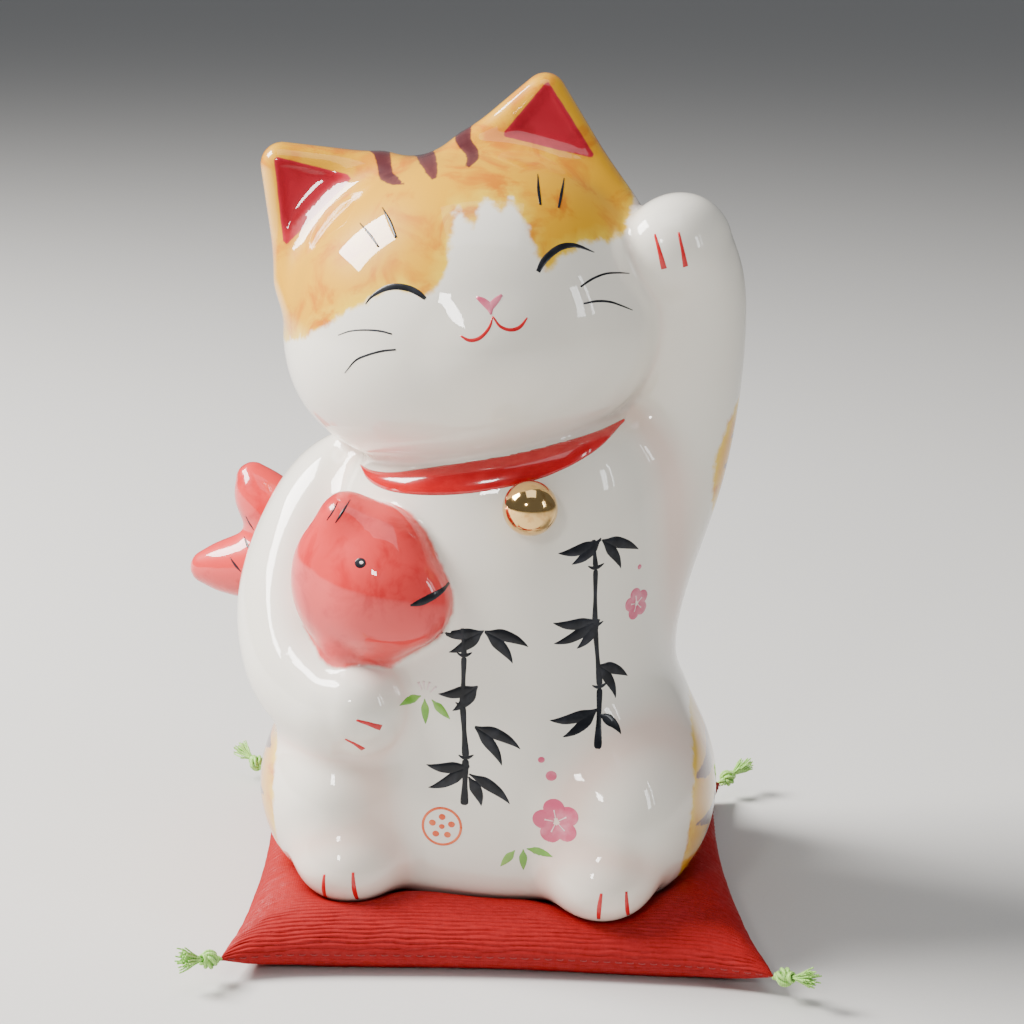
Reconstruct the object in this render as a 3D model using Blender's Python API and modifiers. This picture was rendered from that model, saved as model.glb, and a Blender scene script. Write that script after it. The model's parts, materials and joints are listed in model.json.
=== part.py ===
"""A beckoning cat figurine in glazed ceramic, standing on a small crepe cushion.

The cat faces -Y and the cushion lies on z = 0, with its middle at the origin. The figurine is
a set of slip castings that meet with a hairline gap, and the whole of it lifts off the cushion.
Sizes are written in millimetres, and MM turns them into metres.
"""

import math

import bmesh
import bpy
from mathutils import Matrix, Vector

MM = 0.001

# Driving dimensions, in millimetres
CUSHION_SIDE = 112.0
CUSHION_TURN = math.radians(6.5)   # the cushion lies a little turned under the cat
CUSHION_PULL_IN = 2.5              # how far each side curves in between its corners
SEAM_HEIGHT = 5.0                  # height of the seam that joins the two covers
COVER_RISE = 6.5                   # how far the top cover would swell above its seam
COVER_THICKNESS = 0.8
SEAM_ROOM = COVER_THICKNESS + 0.15  # each cover's outer face at the rim, from the seam plane
SEAT_HEIGHT = 8.0                  # top of the cushion where the cat presses it down
SEAT_REACH = 0.88                  # how far out the cat presses the cover down, as a share
SEAT_EDGE = 0.06                   # the share over which the cover rises again beyond that
FLAT_SHARE = 0.8                   # how full the cushion is where its underside meets the table
WADDING_INSET = 1.8                # how far the wadding stays inside the covers
WADDING_REACH = 0.92
JOINT_GAP = 0.3                    # hairline between castings
TASSEL_LENGTH = 10.0
TASSEL_RISE = math.radians(16.0)
# Along a tassel, as shares of its length and radii in millimetres: knot, neck, then the tuft
TASSEL_PROFILE = ((0.0, 0.5), (0.07, 1.2), (0.2, 1.8), (0.34, 1.2), (0.42, 0.9), (0.6, 1.5),
                  (0.85, 2.0), (1.0, 1.2))

# The figurine's own frame has z = 0 on the flat base of the torso
FIGURINE_HEIGHT = SEAT_HEIGHT + JOINT_GAP
CLAY_WALL = 4.0
VENT_RADIUS = 5.0
NECK_RADIUS = 14.0                 # the opening that joins the head's hollow to the torso's
NECK_BORE_LOW = 79.0
NECK_BORE_HIGH = 111.0
HOLLOW_LOW = 4.5
HOLLOW_HIGH = 87.5

TORSO_CENTRE_X = -1.5
ROUNDNESS = 2.25                   # exponent of the torso's superellipse sections
# height, half width, half depth to the front, half depth to the back
TORSO_PROFILE = (
    (0.0, 38.0, 33.0, 34.0), (1.2, 41.6, 36.0, 37.5), (5.0, 45.2, 38.4, 39.8),
    (12.0, 48.6, 40.2, 41.2), (20.0, 49.6, 40.8, 41.6), (29.0, 47.4, 40.4, 40.6),
    (39.0, 42.6, 39.4, 38.6), (49.0, 38.4, 38.4, 36.6), (61.0, 36.8, 37.4, 35.0),
    (73.0, 36.6, 36.2, 33.4), (83.0, 36.0, 34.2, 31.2), (91.0, 33.2, 31.6, 28.8),
    (97.0, 28.0, 27.0, 25.0), (100.5, 21.0, 21.0, 19.0),
)
SHOULDER_SLOPE = math.tan(math.radians(10.0))  # the shoulders rise towards the raised arm
SHOULDER_FROM = 61.0
SHOULDER_TO = 91.0

HEAD_CENTRE = Vector((-9.6, -3.0, 122.3))
HEAD_RADII = Vector((40.4, 36.0, 31.8))
HEAD_TILT = math.radians(-13.5)
HEAD_TURN = math.radians(8.0)
HEAD_FRAME = Matrix.Rotation(HEAD_TILT, 3, "Y") @ Matrix.Rotation(HEAD_TURN, 3, "Z")
JAW_SWELL = 2.0                    # how much wider the face is below its middle
# Up an ear: height above the head's middle, sideways place, half width, half depth
EAR_SECTIONS = {
    1: ((12, 24.5, 13.4, 8.6), (18, 22.4, 14, 8), (25, 20.2, 14.2, 7.3), (31.5, 17.9, 14, 6.6),
        (36, 18.9, 11.4, 5.8), (40, 21.6, 7.2, 4.6), (43, 23.7, 3.6, 2.8), (44.4, 24.2, 1.2, 1)),
    -1: ((12, -26, 12.6, 8.6), (18, -25.2, 13.4, 8), (25, -24.3, 13.8, 7.2),
         (31, -23.8, 13.8, 6.4), (34, -24.6, 12.8, 5.8), (37, -28, 9.3, 5), (40, -32, 4, 3.2),
         (41.3, -32.7, 1.2, 1)),
}
EAR_BACK = 3.0

# Limbs run along points (x, y, z, radius)
RAISED_ARM = ((22, 2, 53, 11), (27.5, 2, 71, 12.5), (32.5, 1, 89, 13), (35.3, -0.5, 109, 12.2),
              (35.6, -2, 127, 11.4), (33.6, -5, 136.5, 10.8), (31.8, -10, 139, 9.6))
HOLDING_ARM = ((-27, 5, 85, 11), (-37, 1, 77, 13.5), (-42.6, -9, 60, 14.2), (-40, -21, 47.5, 13),
               (-32, -31, 42.5, 11.2), (-26.5, -35.5, 43, 9.6))
UPPER_TAIL_LOBE = ((-42, 13, 67, 6), (-51, 14.5, 69.5, 6.8), (-57, 15.5, 74, 6),
                   (-59.6, 16, 77.6, 3.7))
LOWER_TAIL_LOBE = ((-43, 13, 57, 6), (-55, 13.8, 57.4, 7), (-63.5, 14.5, 57, 5.8),
                   (-69.5, 15, 56.4, 3.7))
CAT_TAIL = ((0, 36, 9.5, 7.5), (14, 42, 10.5, 8), (27, 41, 19, 7.6), (31, 37, 30, 6.6))

FISH_CENTRE = Vector((-26.0, -31.5, 68.5))
FISH_RADII = Vector((16.6, 12.0, 17.4))
FISH_TURN = math.radians(-15.0)
FOOT_RADII = Vector((10.5, 9.5, 8.0))
FOOT_CENTRES = {"left_foot": Vector((25.5, -38.5, 9.6)), "right_foot": Vector((-27.1, -38.5, 9.6))}
BELL_CENTRE = Vector((7.5, -37.5, 87.8))
BELL_RADIUS = 5.5
COLLAR_CENTRE = Vector((-2.0, -2.0, 93.5))
COLLAR_HALF_WIDTH = 32.8
COLLAR_HALF_DEPTH = 30.5
COLLAR_RADIUS = 2.6
COLLAR_TILT = math.radians(-11.0)
COLLAR_POINTS = 36

GLAZE_WHITE = (0.88, 0.84, 0.76)
GLAZE_RED = (0.62, 0.03, 0.03)
GLAZE_CORAL = (0.72, 0.09, 0.08)
GLAZE_AMBER = (0.85, 0.42, 0.08)
GLAZE_GOLD = (0.75, 0.5, 0.2)
CREPE_RED = (0.55, 0.01, 0.015)
WADDING_WHITE = (0.85, 0.83, 0.78)
THREAD_GREEN = (0.3, 0.62, 0.2)


def clear_scene():
    """Start from an empty file."""
    for item in list(bpy.data.objects):
        bpy.data.objects.remove(item, do_unlink=True)


def make_collection(name):
    """A collection of its own for the parts, and one for the cutters."""
    made = bpy.data.collections.new(name)
    bpy.context.scene.collection.children.link(made)
    return made


def make_material(name, colour, roughness, metallic=0.0):
    """A Principled material in one colour."""
    material = bpy.data.materials.new(name)
    material.use_nodes = True
    shader = material.node_tree.nodes["Principled BSDF"]
    shader.inputs["Base Color"].default_value = (*colour, 1.0)
    shader.inputs["Roughness"].default_value = roughness
    shader.inputs["Metallic"].default_value = metallic
    return material


def add_part(name, mesh, material, parent=None):
    """Put a mesh in the parts collection as a named sub-part."""
    mesh.materials.clear()
    mesh.materials.append(material)
    part = bpy.data.objects.new(name, mesh)
    PARTS.objects.link(part)
    part.parent = parent
    mesh.shade_smooth()
    return part


def smooth_path(knots, steps):
    """Points on a Catmull-Rom curve through the knots, whatever their number of values."""
    rows = [list(map(float, knot)) for knot in knots]
    first = [2 * a - b for a, b in zip(rows[0], rows[1])]
    last = [2 * a - b for a, b in zip(rows[-1], rows[-2])]
    rows = [first] + rows + [last]
    path = []
    for index in range(1, len(rows) - 2):
        before, start, end, after = rows[index - 1:index + 3]
        for step in range(steps):
            t = step / steps
            path.append([0.5 * (2 * b + (c - a) * t + (2 * a - 5 * b + 4 * c - d) * t * t
                                + (3 * b - 3 * c + d - a) * t ** 3)
                         for a, b, c, d in zip(before, start, end, after)])
    path.append(rows[-2])
    return path


def loft(rings):
    """A closed mesh through rings of equally many points, capped at both ends."""
    shape = bmesh.new()
    rows = [[shape.verts.new(point * MM) for point in ring] for ring in rings]
    count = len(rows[0])
    for low, high in zip(rows, rows[1:]):
        for i in range(count):
            j = (i + 1) % count
            shape.faces.new((low[i], low[j], high[j], high[i]))
    shape.faces.new(reversed(rows[0]))
    shape.faces.new(rows[-1])
    bmesh.ops.recalc_face_normals(shape, faces=shape.faces)
    mesh = bpy.data.meshes.new("loft")
    shape.to_mesh(mesh)
    shape.free()
    return mesh


def shoulder_rise(height, x):
    """How far a point of the torso is lifted by the slope of the shoulders."""
    share = min(1.0, max(0.0, (height - SHOULDER_FROM) / (SHOULDER_TO - SHOULDER_FROM)))
    return (x - TORSO_CENTRE_X) * SHOULDER_SLOPE * share * share * (3 - 2 * share)


def torso_mesh(shrink=0.0, lowest=0.0, highest=200.0, sides=30, steps=1):
    """The seated body: superellipse sections that narrow at the waist and at the neck."""
    rings = []
    for height, width, front, back in smooth_path(TORSO_PROFILE, steps):
        if not lowest <= height <= highest:
            continue
        ring = []
        for side in range(sides):
            angle = 2 * math.pi * side / sides
            depth = front if math.sin(angle) < 0 else back
            power = 2 / ROUNDNESS
            across = math.copysign(abs(math.cos(angle)) ** power, math.cos(angle))
            along = math.copysign(abs(math.sin(angle)) ** power, math.sin(angle))
            x = TORSO_CENTRE_X + (width - shrink) * across
            ring.append(Vector((x, (depth - shrink) * along, height + shoulder_rise(height, x))))
        rings.append(ring)
    return loft(rings)


def ellipsoid_mesh(centre, radii, frame=None, segments=20, rings=12):
    """An ellipsoid from a sphere primitive."""
    shape = bmesh.new()
    bmesh.ops.create_uvsphere(shape, u_segments=segments, v_segments=rings, radius=1.0)
    frame = frame or Matrix.Identity(3)
    for vert in shape.verts:
        vert.co = (centre + frame @ (vert.co * radii)) * MM
    mesh = bpy.data.meshes.new("ellipsoid")
    shape.to_mesh(mesh)
    shape.free()
    return mesh


def head_mesh(shrink=0.0):
    """The head: an ellipsoid with a fuller jaw, turned and tilted with the head."""
    shape = bmesh.new()
    bmesh.ops.create_uvsphere(shape, u_segments=30, v_segments=18, radius=1.0)
    for vert in shape.verts:
        local = vert.co * (HEAD_RADII - Vector((shrink, shrink, shrink)))
        fullness = math.sin(math.pi * max(0.0, -vert.co.z)) ** 2
        local.x *= 1.0 + fullness * JAW_SWELL / HEAD_RADII.x
        vert.co = (HEAD_CENTRE + HEAD_FRAME @ local) * MM
    mesh = bpy.data.meshes.new("head")
    shape.to_mesh(mesh)
    shape.free()
    return mesh


def limb_mesh(knots, steps=3, bevel_resolution=5, end_steps=3):
    """A tapering tube along smooth points, with round ends, as a closed mesh."""
    path = smooth_path(knots, steps)
    points = [(Vector(row[:3]), row[3]) for row in path]

    def round_end(point, toward, radius):
        out = (point - toward).normalized()
        angles = [math.pi / 2 * step / end_steps for step in range(1, end_steps + 1)]
        return [(point + out * radius * math.sin(a), max(radius * math.cos(a), radius * 0.05))
                for a in angles]

    head = round_end(points[0][0], points[1][0], points[0][1])
    tail = round_end(points[-1][0], points[-2][0], points[-1][1])
    points = head[::-1] + points + tail
    curve = bpy.data.curves.new("limb", "CURVE")
    curve.dimensions = "3D"
    curve.bevel_depth = MM
    curve.bevel_resolution = bevel_resolution
    curve.use_fill_caps = True
    spline = curve.splines.new("POLY")
    spline.points.add(len(points) - 1)
    for target, (place, radius) in zip(spline.points, points):
        target.co = (*(place * MM), 1.0)
        target.radius = radius
    return curve_to_mesh(curve)


def curve_to_mesh(curve):
    """The evaluated curve as a mesh with its caps welded on."""
    holder = bpy.data.objects.new("curve", curve)
    PARTS.objects.link(holder)
    evaluated = holder.evaluated_get(bpy.context.evaluated_depsgraph_get())
    mesh = bpy.data.meshes.new_from_object(evaluated)
    bpy.data.objects.remove(holder, do_unlink=True)
    shape = bmesh.new()
    shape.from_mesh(mesh)
    bmesh.ops.remove_doubles(shape, verts=shape.verts, dist=0.00001)
    bmesh.ops.recalc_face_normals(shape, faces=shape.faces)
    shape.to_mesh(mesh)
    shape.free()
    return mesh


def ear_mesh(side, sides=18):
    """A broad, flattened ear that leans outwards, with a rounded tip."""
    rings = []
    for height, out, width, depth in EAR_SECTIONS[side]:
        ring = []
        for index in range(sides):
            angle = 2 * math.pi * index / sides
            local = Vector((out + width * math.cos(angle), EAR_BACK + depth * math.sin(angle),
                            height))
            ring.append(HEAD_CENTRE + HEAD_FRAME @ local)
        rings.append(ring)
    return loft(rings)


def collar_mesh():
    """A round-edged band on an ellipse, lying in the crease under the chin."""
    curve = bpy.data.curves.new("collar", "CURVE")
    curve.dimensions = "3D"
    curve.bevel_depth = COLLAR_RADIUS * MM
    curve.bevel_resolution = 3
    spline = curve.splines.new("POLY")
    spline.points.add(COLLAR_POINTS - 1)
    spline.use_cyclic_u = True
    tilt = Matrix.Rotation(COLLAR_TILT, 3, "Y")
    for index, target in enumerate(spline.points):
        angle = 2 * math.pi * index / COLLAR_POINTS
        local = Vector((COLLAR_HALF_WIDTH * math.cos(angle), COLLAR_HALF_DEPTH * math.sin(angle), 0))
        place = (COLLAR_CENTRE + tilt @ local) * MM
        target.co = (*place, 1.0)
    return curve_to_mesh(curve)


def make_cutter(name, mesh, parent, grow=0.0):
    """A hidden cutting shape, grown outwards by the hairline gap where that is asked for."""
    cutter = bpy.data.objects.new(name, mesh.copy())
    CUTTERS.objects.link(cutter)
    cutter.parent = parent
    cutter.hide_render = True
    cutter.display_type = "WIRE"
    if grow:
        swell = cutter.modifiers.new("gap", "DISPLACE")
        swell.mid_level = 0.0
        swell.strength = grow * MM
    return cutter


def cut(part, cutters):
    """Take each cutter out of a part."""
    for cutter in cutters:
        bite = part.modifiers.new("cut " + cutter.name, "BOOLEAN")
        bite.operation = "DIFFERENCE"
        bite.solver = "EXACT"
        bite.object = cutter


def bore_mesh(radius, low, high, segments=24):
    """A cylinder along Z between two heights, at the torso's middle."""
    shape = bmesh.new()
    bmesh.ops.create_cone(shape, cap_ends=True, segments=segments, radius1=radius * MM,
                          radius2=radius * MM, depth=(high - low) * MM)
    middle = Vector((TORSO_CENTRE_X, 0.0, (low + high) / 2)) * MM
    bmesh.ops.translate(shape, verts=shape.verts, vec=middle)
    mesh = bpy.data.meshes.new("bore")
    shape.to_mesh(mesh)
    shape.free()
    return mesh


def swell_share(u, v):
    """How full the cushion is at u, v: 0 on its seam, 1 in the middle."""
    return math.sqrt(max(0.0, 1 - abs(u) ** 6)) * math.sqrt(max(0.0, 1 - abs(v) ** 6))


def cushion_plan(u, v):
    """Where a point of the square cover, with u and v from -1 to 1, lies in the plan."""
    half = CUSHION_SIDE / 2
    x = u * (half - CUSHION_PULL_IN * (1 - v * v))
    y = v * (half - CUSHION_PULL_IN * (1 - u * u))
    turn = Matrix.Rotation(CUSHION_TURN, 2)
    return turn @ Vector((x, y))


def top_height(u, v):
    """Height of the top cover, pressed flat where the cat stands."""
    swollen = SEAM_HEIGHT + SEAM_ROOM + COVER_RISE * swell_share(u, v)
    reach = max(abs(u), abs(v))
    free = min(1.0, max(0.0, (reach - SEAT_REACH) / SEAT_EDGE))
    return min(swollen, SEAT_HEIGHT + free * COVER_RISE)


def pressed_height(u, v):
    """Height of the top cover without the rim that swells up around the cat."""
    return min(top_height(u, v), SEAT_HEIGHT)


def bottom_height(u, v):
    """Height of the bottom cover, which is flat where it lies on the table."""
    return max(0.0, (SEAM_HEIGHT - SEAM_ROOM) * (1 - swell_share(u, v) / FLAT_SHARE))


def cloth_point(u, v, height, reach=1.0):
    """A point of a cover, in metres; the sine packs the grid closer towards the seam."""
    u, v = (reach * math.sin(c * math.pi / 2) for c in (u, v))
    place = cushion_plan(u, v)
    return Vector((place.x, place.y, height(u, v))) * MM


def cover_mesh(height, cells=12):
    """A square sheet of cloth at the given height, with no thickness yet."""
    shape = bmesh.new()
    bmesh.ops.create_grid(shape, x_segments=cells, y_segments=cells, size=1.0)
    for vert in shape.verts:
        vert.co = cloth_point(vert.co.x, vert.co.y, height)
    mesh = bpy.data.meshes.new("cover")
    shape.to_mesh(mesh)
    shape.free()
    return mesh


def wadding_mesh(cells=10):
    """The filling: two sheets a little inside the covers, bridged along their rims."""
    shape = bmesh.new()
    rims = []
    for height, inset in ((pressed_height, -WADDING_INSET), (bottom_height, WADDING_INSET)):
        made = bmesh.ops.create_grid(shape, x_segments=cells, y_segments=cells, size=1.0)
        for vert in made["verts"]:
            vert.co = cloth_point(vert.co.x, vert.co.y, height, WADDING_REACH)
            vert.co.z += inset * MM
        rims += [edge for edge in shape.edges if edge.is_boundary and edge not in rims]
    bmesh.ops.bridge_loops(shape, edges=rims)
    bmesh.ops.recalc_face_normals(shape, faces=shape.faces)
    mesh = bpy.data.meshes.new("wadding")
    shape.to_mesh(mesh)
    shape.free()
    return mesh


def tassel_mesh(side_x, side_y):
    """A knotted tuft of thread that leaves a corner of the cushion and points outwards."""
    corner = cushion_plan(side_x, side_y)
    out = corner.normalized()
    level = math.cos(TASSEL_RISE)
    direction = Vector((out.x * level, out.y * level, math.sin(TASSEL_RISE)))
    start = Vector((corner.x, corner.y, SEAM_HEIGHT)) + direction * (JOINT_GAP + COVER_THICKNESS)
    knots = [(*(start + direction * TASSEL_LENGTH * share), radius)
             for share, radius in TASSEL_PROFILE]
    return limb_mesh(knots, steps=1, bevel_resolution=2, end_steps=1)


def build_cushion():
    """Two crepe covers, the wadding between them and a tassel at each corner."""
    crepe = make_material("crepe_red", CREPE_RED, 0.8)
    wadding = make_material("wadding_white", WADDING_WHITE, 0.95)
    thread = make_material("thread_green", THREAD_GREEN, 0.6)
    sheets = (("cushion_top_cover", top_height, -1.0), ("cushion_bottom_cover", bottom_height, 1.0))
    for name, height, offset in sheets:
        cover = add_part(name, cover_mesh(height), crepe)
        cloth = cover.modifiers.new("cloth thickness", "SOLIDIFY")
        cloth.thickness = COVER_THICKNESS * MM
        cloth.offset = offset
    add_part("cushion_wadding", wadding_mesh(), wadding)
    for side_y, depth_name in ((-1, "front"), (1, "back")):
        for side_x, side_name in ((1, "left"), (-1, "right")):
            add_part(f"tassel_{depth_name}_{side_name}", tassel_mesh(side_x, side_y), thread)


def build_figurine():
    """Each casting, cut back by the ones that it is luted onto."""
    seat = bpy.data.objects.new("figurine_seat", None)
    PARTS.objects.link(seat)
    seat.location = (0.0, 0.0, FIGURINE_HEIGHT * MM)
    white = make_material("glaze_white", GLAZE_WHITE, 0.1)
    amber = make_material("glaze_amber", GLAZE_AMBER, 0.1)
    coral = make_material("glaze_coral", GLAZE_CORAL, 0.1)
    red = make_material("glaze_red", GLAZE_RED, 0.12)
    gold = make_material("gold_lustre", GLAZE_GOLD, 0.12, metallic=1.0)
    fish_frame = Matrix.Rotation(FISH_TURN, 3, "Z")
    bell_radii = Vector((BELL_RADIUS, BELL_RADIUS, BELL_RADIUS))
    # name, mesh, material, the castings that cut it back
    castings = [
        ("torso", torso_mesh(), white, ("head", "collar")),
        ("head", head_mesh(), white, ("collar",)),
        ("collar", collar_mesh(), red, ()),
        ("bell", ellipsoid_mesh(BELL_CENTRE, bell_radii), gold, ("torso", "collar")),
        ("left_ear", ear_mesh(1), amber, ("head",)),
        ("right_ear", ear_mesh(-1), amber, ("head",)),
        ("raised_arm", limb_mesh(RAISED_ARM), white, ("torso", "head", "collar", "left_ear")),
        ("fish_body", ellipsoid_mesh(FISH_CENTRE, FISH_RADII, fish_frame), coral, ("torso",)),
        ("holding_arm", limb_mesh(HOLDING_ARM), white, ("torso", "head", "collar", "fish_body")),
        ("fish_tail_upper", limb_mesh(UPPER_TAIL_LOBE, bevel_resolution=3), coral,
         ("torso", "holding_arm")),
        ("fish_tail_lower", limb_mesh(LOWER_TAIL_LOBE, bevel_resolution=3), coral,
         ("torso", "holding_arm", "fish_tail_upper")),
        ("cat_tail", limb_mesh(CAT_TAIL, bevel_resolution=3), amber, ("torso",)),
    ]
    for name, centre in FOOT_CENTRES.items():
        castings.append((name, ellipsoid_mesh(centre, FOOT_RADII), white, ("torso",)))
    winners = {winner for casting in castings for winner in casting[3]}
    cutters = {name: make_cutter(name + "_cutter", mesh, seat, JOINT_GAP)
               for name, mesh, _, _ in castings if name in winners}
    neck = make_cutter("neck_bore", bore_mesh(NECK_RADIUS, NECK_BORE_LOW, NECK_BORE_HIGH), seat)
    torso_hollow = torso_mesh(CLAY_WALL, HOLLOW_LOW, HOLLOW_HIGH)
    vent = bore_mesh(VENT_RADIUS, -CLAY_WALL, HOLLOW_LOW + CLAY_WALL)
    hollows = {
        "torso": (make_cutter("torso_hollow", torso_hollow, seat), neck,
                  make_cutter("vent_bore", vent, seat)),
        "head": (make_cutter("head_hollow", head_mesh(CLAY_WALL), seat), neck),
    }
    for name, mesh, material, cut_by in castings:
        part = add_part(name, mesh, material, seat)
        cut(part, [cutters[winner] for winner in cut_by])
        cut(part, hollows.get(name, ()))


clear_scene()
PARTS = make_collection("beckoning_cat_figurine")
CUTTERS = make_collection("cutters")
build_figurine()
build_cushion()
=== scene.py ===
# %% [markdown]
# # A beckoning cat in painted ceramic, on a crepe cushion
#
# This lesson builds one small ornament: a seated cat that raises its left paw and holds a fish
# under its right arm. It is slip-cast clay under a thick clear glaze, painted by hand, and it
# stands loose on a square cushion of red crepe with a thread tassel at each corner.
#
# The solid model of the ornament is loaded first as a fixed frame. It says where every part
# lies and what moves. Everything made here is laid over it, in the same place and size.

# %% Load the frame
import json
import math

import bmesh
import bpy
import numpy as np
from mathutils import Matrix, Vector

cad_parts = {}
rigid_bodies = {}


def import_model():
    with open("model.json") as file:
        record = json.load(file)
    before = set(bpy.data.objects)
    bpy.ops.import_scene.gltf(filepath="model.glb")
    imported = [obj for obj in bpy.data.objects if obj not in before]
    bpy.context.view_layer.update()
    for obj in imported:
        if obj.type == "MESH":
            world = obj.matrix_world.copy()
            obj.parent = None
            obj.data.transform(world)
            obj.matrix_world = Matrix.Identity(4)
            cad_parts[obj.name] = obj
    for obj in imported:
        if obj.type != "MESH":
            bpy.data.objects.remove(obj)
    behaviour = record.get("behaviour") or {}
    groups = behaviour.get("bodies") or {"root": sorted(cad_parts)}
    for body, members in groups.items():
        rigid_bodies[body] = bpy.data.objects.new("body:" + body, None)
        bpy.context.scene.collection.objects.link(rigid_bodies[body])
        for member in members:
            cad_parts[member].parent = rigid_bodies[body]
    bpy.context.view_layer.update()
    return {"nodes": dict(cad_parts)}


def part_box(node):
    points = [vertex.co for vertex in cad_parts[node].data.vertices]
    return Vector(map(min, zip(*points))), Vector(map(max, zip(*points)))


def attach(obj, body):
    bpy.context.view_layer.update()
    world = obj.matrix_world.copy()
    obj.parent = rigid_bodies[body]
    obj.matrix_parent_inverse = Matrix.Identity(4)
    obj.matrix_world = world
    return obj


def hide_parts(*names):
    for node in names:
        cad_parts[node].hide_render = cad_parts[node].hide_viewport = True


for leftover in list(bpy.data.objects):
    bpy.data.objects.remove(leftover)
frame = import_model()
MM = 0.001
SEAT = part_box("torso")[0].z / MM   # height of the cat's flat base, in millimetres
print("frame:", len(frame["nodes"]), "nodes, the cat's base is at", round(SEAT, 2), "mm")

# %% [markdown]
# ## The view
#
# The camera stands in front of the cat and a little above it, with a long lens, as for a
# product picture. A long lens keeps the ears from looking small and the feet from looking big.
# The camera leans by a couple of degrees, so its frame is built from three directions: where
# it looks, what is level to its right, and the small roll about the line of sight.

# %% Camera
CAMERA_PLACE = Vector((0.0460, -0.5177, 0.2146))
CAMERA_LOOK = Vector((-0.0848, 0.9669, -0.2406)).normalized()
CAMERA_ROLL = 0.041   # radians
CAMERA_LENS = 87.0    # millimetres, on a 36 mm frame

level = CAMERA_LOOK.cross(Vector((0, 0, 1))).normalized()
above = level.cross(CAMERA_LOOK)
right = level * math.cos(CAMERA_ROLL) + above * math.sin(CAMERA_ROLL)
up = above * math.cos(CAMERA_ROLL) - level * math.sin(CAMERA_ROLL)
facing = Matrix((right, up, -CAMERA_LOOK)).transposed().to_4x4()
camera = bpy.data.objects.new("camera", bpy.data.cameras.new("camera"))
bpy.context.collection.objects.link(camera)
camera.data.lens = CAMERA_LENS
camera.data.clip_start = 0.01
camera.matrix_world = Matrix.Translation(CAMERA_PLACE) @ facing
bpy.context.scene.camera = camera
print("camera:", [round(value, 3) for value in camera.location], "lens", CAMERA_LENS)

# %% [markdown]
# ## Describing clay with distances
#
# A slip-cast figure has no sharp corners: limbs are luted onto the body and the joints are
# sponged until they flow together. Boxes and spheres joined by Booleans would leave creases
# that have to be rounded afterwards. It is easier to describe the clay by a *distance*: a
# function that says how far a point is from a shape, negative inside it. Two distances can be
# joined by a soft minimum, which fills the corner between them with a fillet of any width.
#
# All lengths in these cells are millimetres in the cat's own frame: z = 0 is its flat base.

# %% Distance tools
def turn(y=0.0, z=0.0):
    """A rotation matrix from angles in degrees about Z, then about Y."""
    y, z = np.radians((y, z))
    about_y = np.array([[np.cos(y), 0, np.sin(y)], [0, 1, 0], [-np.sin(y), 0, np.cos(y)]])
    about_z = np.array([[np.cos(z), -np.sin(z), 0], [np.sin(z), np.cos(z), 0], [0, 0, 1]])
    return about_y @ about_z


def soft_union(a, b, fillet):
    """Two shapes luted together, with a fillet about as wide as asked."""
    share = np.clip(0.5 + 0.5 * (b - a) / fillet, 0, 1)
    return b * (1 - share) + a * share - fillet * share * (1 - share)


def soft_cut(a, b, fillet):
    """The part that is inside both shapes, with its edge rounded."""
    return -soft_union(-a, -b, fillet)


def ball(points, centre, radii, axes=None):
    """Distance to an ellipsoid, along the given axes."""
    local = points - np.asarray(centre, float)
    if axes is not None:
        local = local @ axes
    radii = np.asarray(radii, float)
    reach = np.linalg.norm(local / radii, axis=1)
    return reach * (reach - 1) / (np.linalg.norm(local / radii ** 2, axis=1) + 1e-9)


def flowing(knots, steps=5):
    """Rows on a smooth (Catmull-Rom) curve through the knots."""
    rows = np.asarray(knots, float)
    rows = np.vstack([2 * rows[0] - rows[1], rows, 2 * rows[-1] - rows[-2]])
    t = np.linspace(0, 1, steps, endpoint=False)[:, None]
    made = []
    for before, start, end, after in zip(rows, rows[1:], rows[2:], rows[3:]):
        made.append(0.5 * (2 * start + (end - before) * t
                           + (2 * before - 5 * start + 4 * end - after) * t ** 2
                           + (3 * start - 3 * end + after - before) * t ** 3))
    return np.vstack(made + [rows[-2:-1]])


def roll(points, knots, steps=5):
    """Distance to a hand-rolled coil of clay through knots of (x, y, z, radius)."""
    path = flowing(knots, steps)
    nearest = np.full(len(points), 1e9)
    for start, end in zip(path, path[1:]):
        run = end[:3] - start[:3]
        off = points - start[:3]
        share = np.clip(off @ run / (run @ run), 0, 1)
        radius = start[3] + (end[3] - start[3]) * share
        nearest = np.minimum(nearest, np.linalg.norm(off - share[:, None] * run, axis=1) - radius)
    return nearest


def outline_distance(flat, corners):
    """Distance from flat points to a closed outline, negative inside it."""
    corners = np.asarray(corners, float)
    nearest = np.full(len(flat), 1e9)
    inside = np.zeros(len(flat), bool)
    for start, end in zip(corners, np.roll(corners, -1, axis=0)):
        run = end - start
        off = flat - start
        share = np.clip(off @ run / (run @ run), 0, 1)
        nearest = np.minimum(nearest, np.linalg.norm(off - share[:, None] * run, axis=1))
        crosses = (start[1] > flat[:, 1]) != (end[1] > flat[:, 1])
        rise = run[1] if run[1] else 1e-9
        inside ^= crosses & (flat[:, 0] < start[0] + run[0] * (flat[:, 1] - start[1]) / rise)
    return np.where(inside, -nearest, nearest)


probe = np.array([[0.0, 0.0, 0.0], [12.0, 0.0, 0.0]])
print("a ball of 10 mm seen from its middle and from 12 mm:", ball(probe, (0, 0, 0), (10, 10, 10)))

# %% [markdown]
# ## The body
#
# The torso is a bell: round sections that swell at the hips, narrow at the waist and close
# over the shoulders. Each section is a superellipse, a little squarer than an ellipse. The
# haunches are two ellipsoids softly joined to its sides, and the shoulders slope up towards
# the raised arm. Underneath is the hole through which the slip was poured out again.

# %% Torso, haunches and feet
TORSO_X = -1.5
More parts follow.
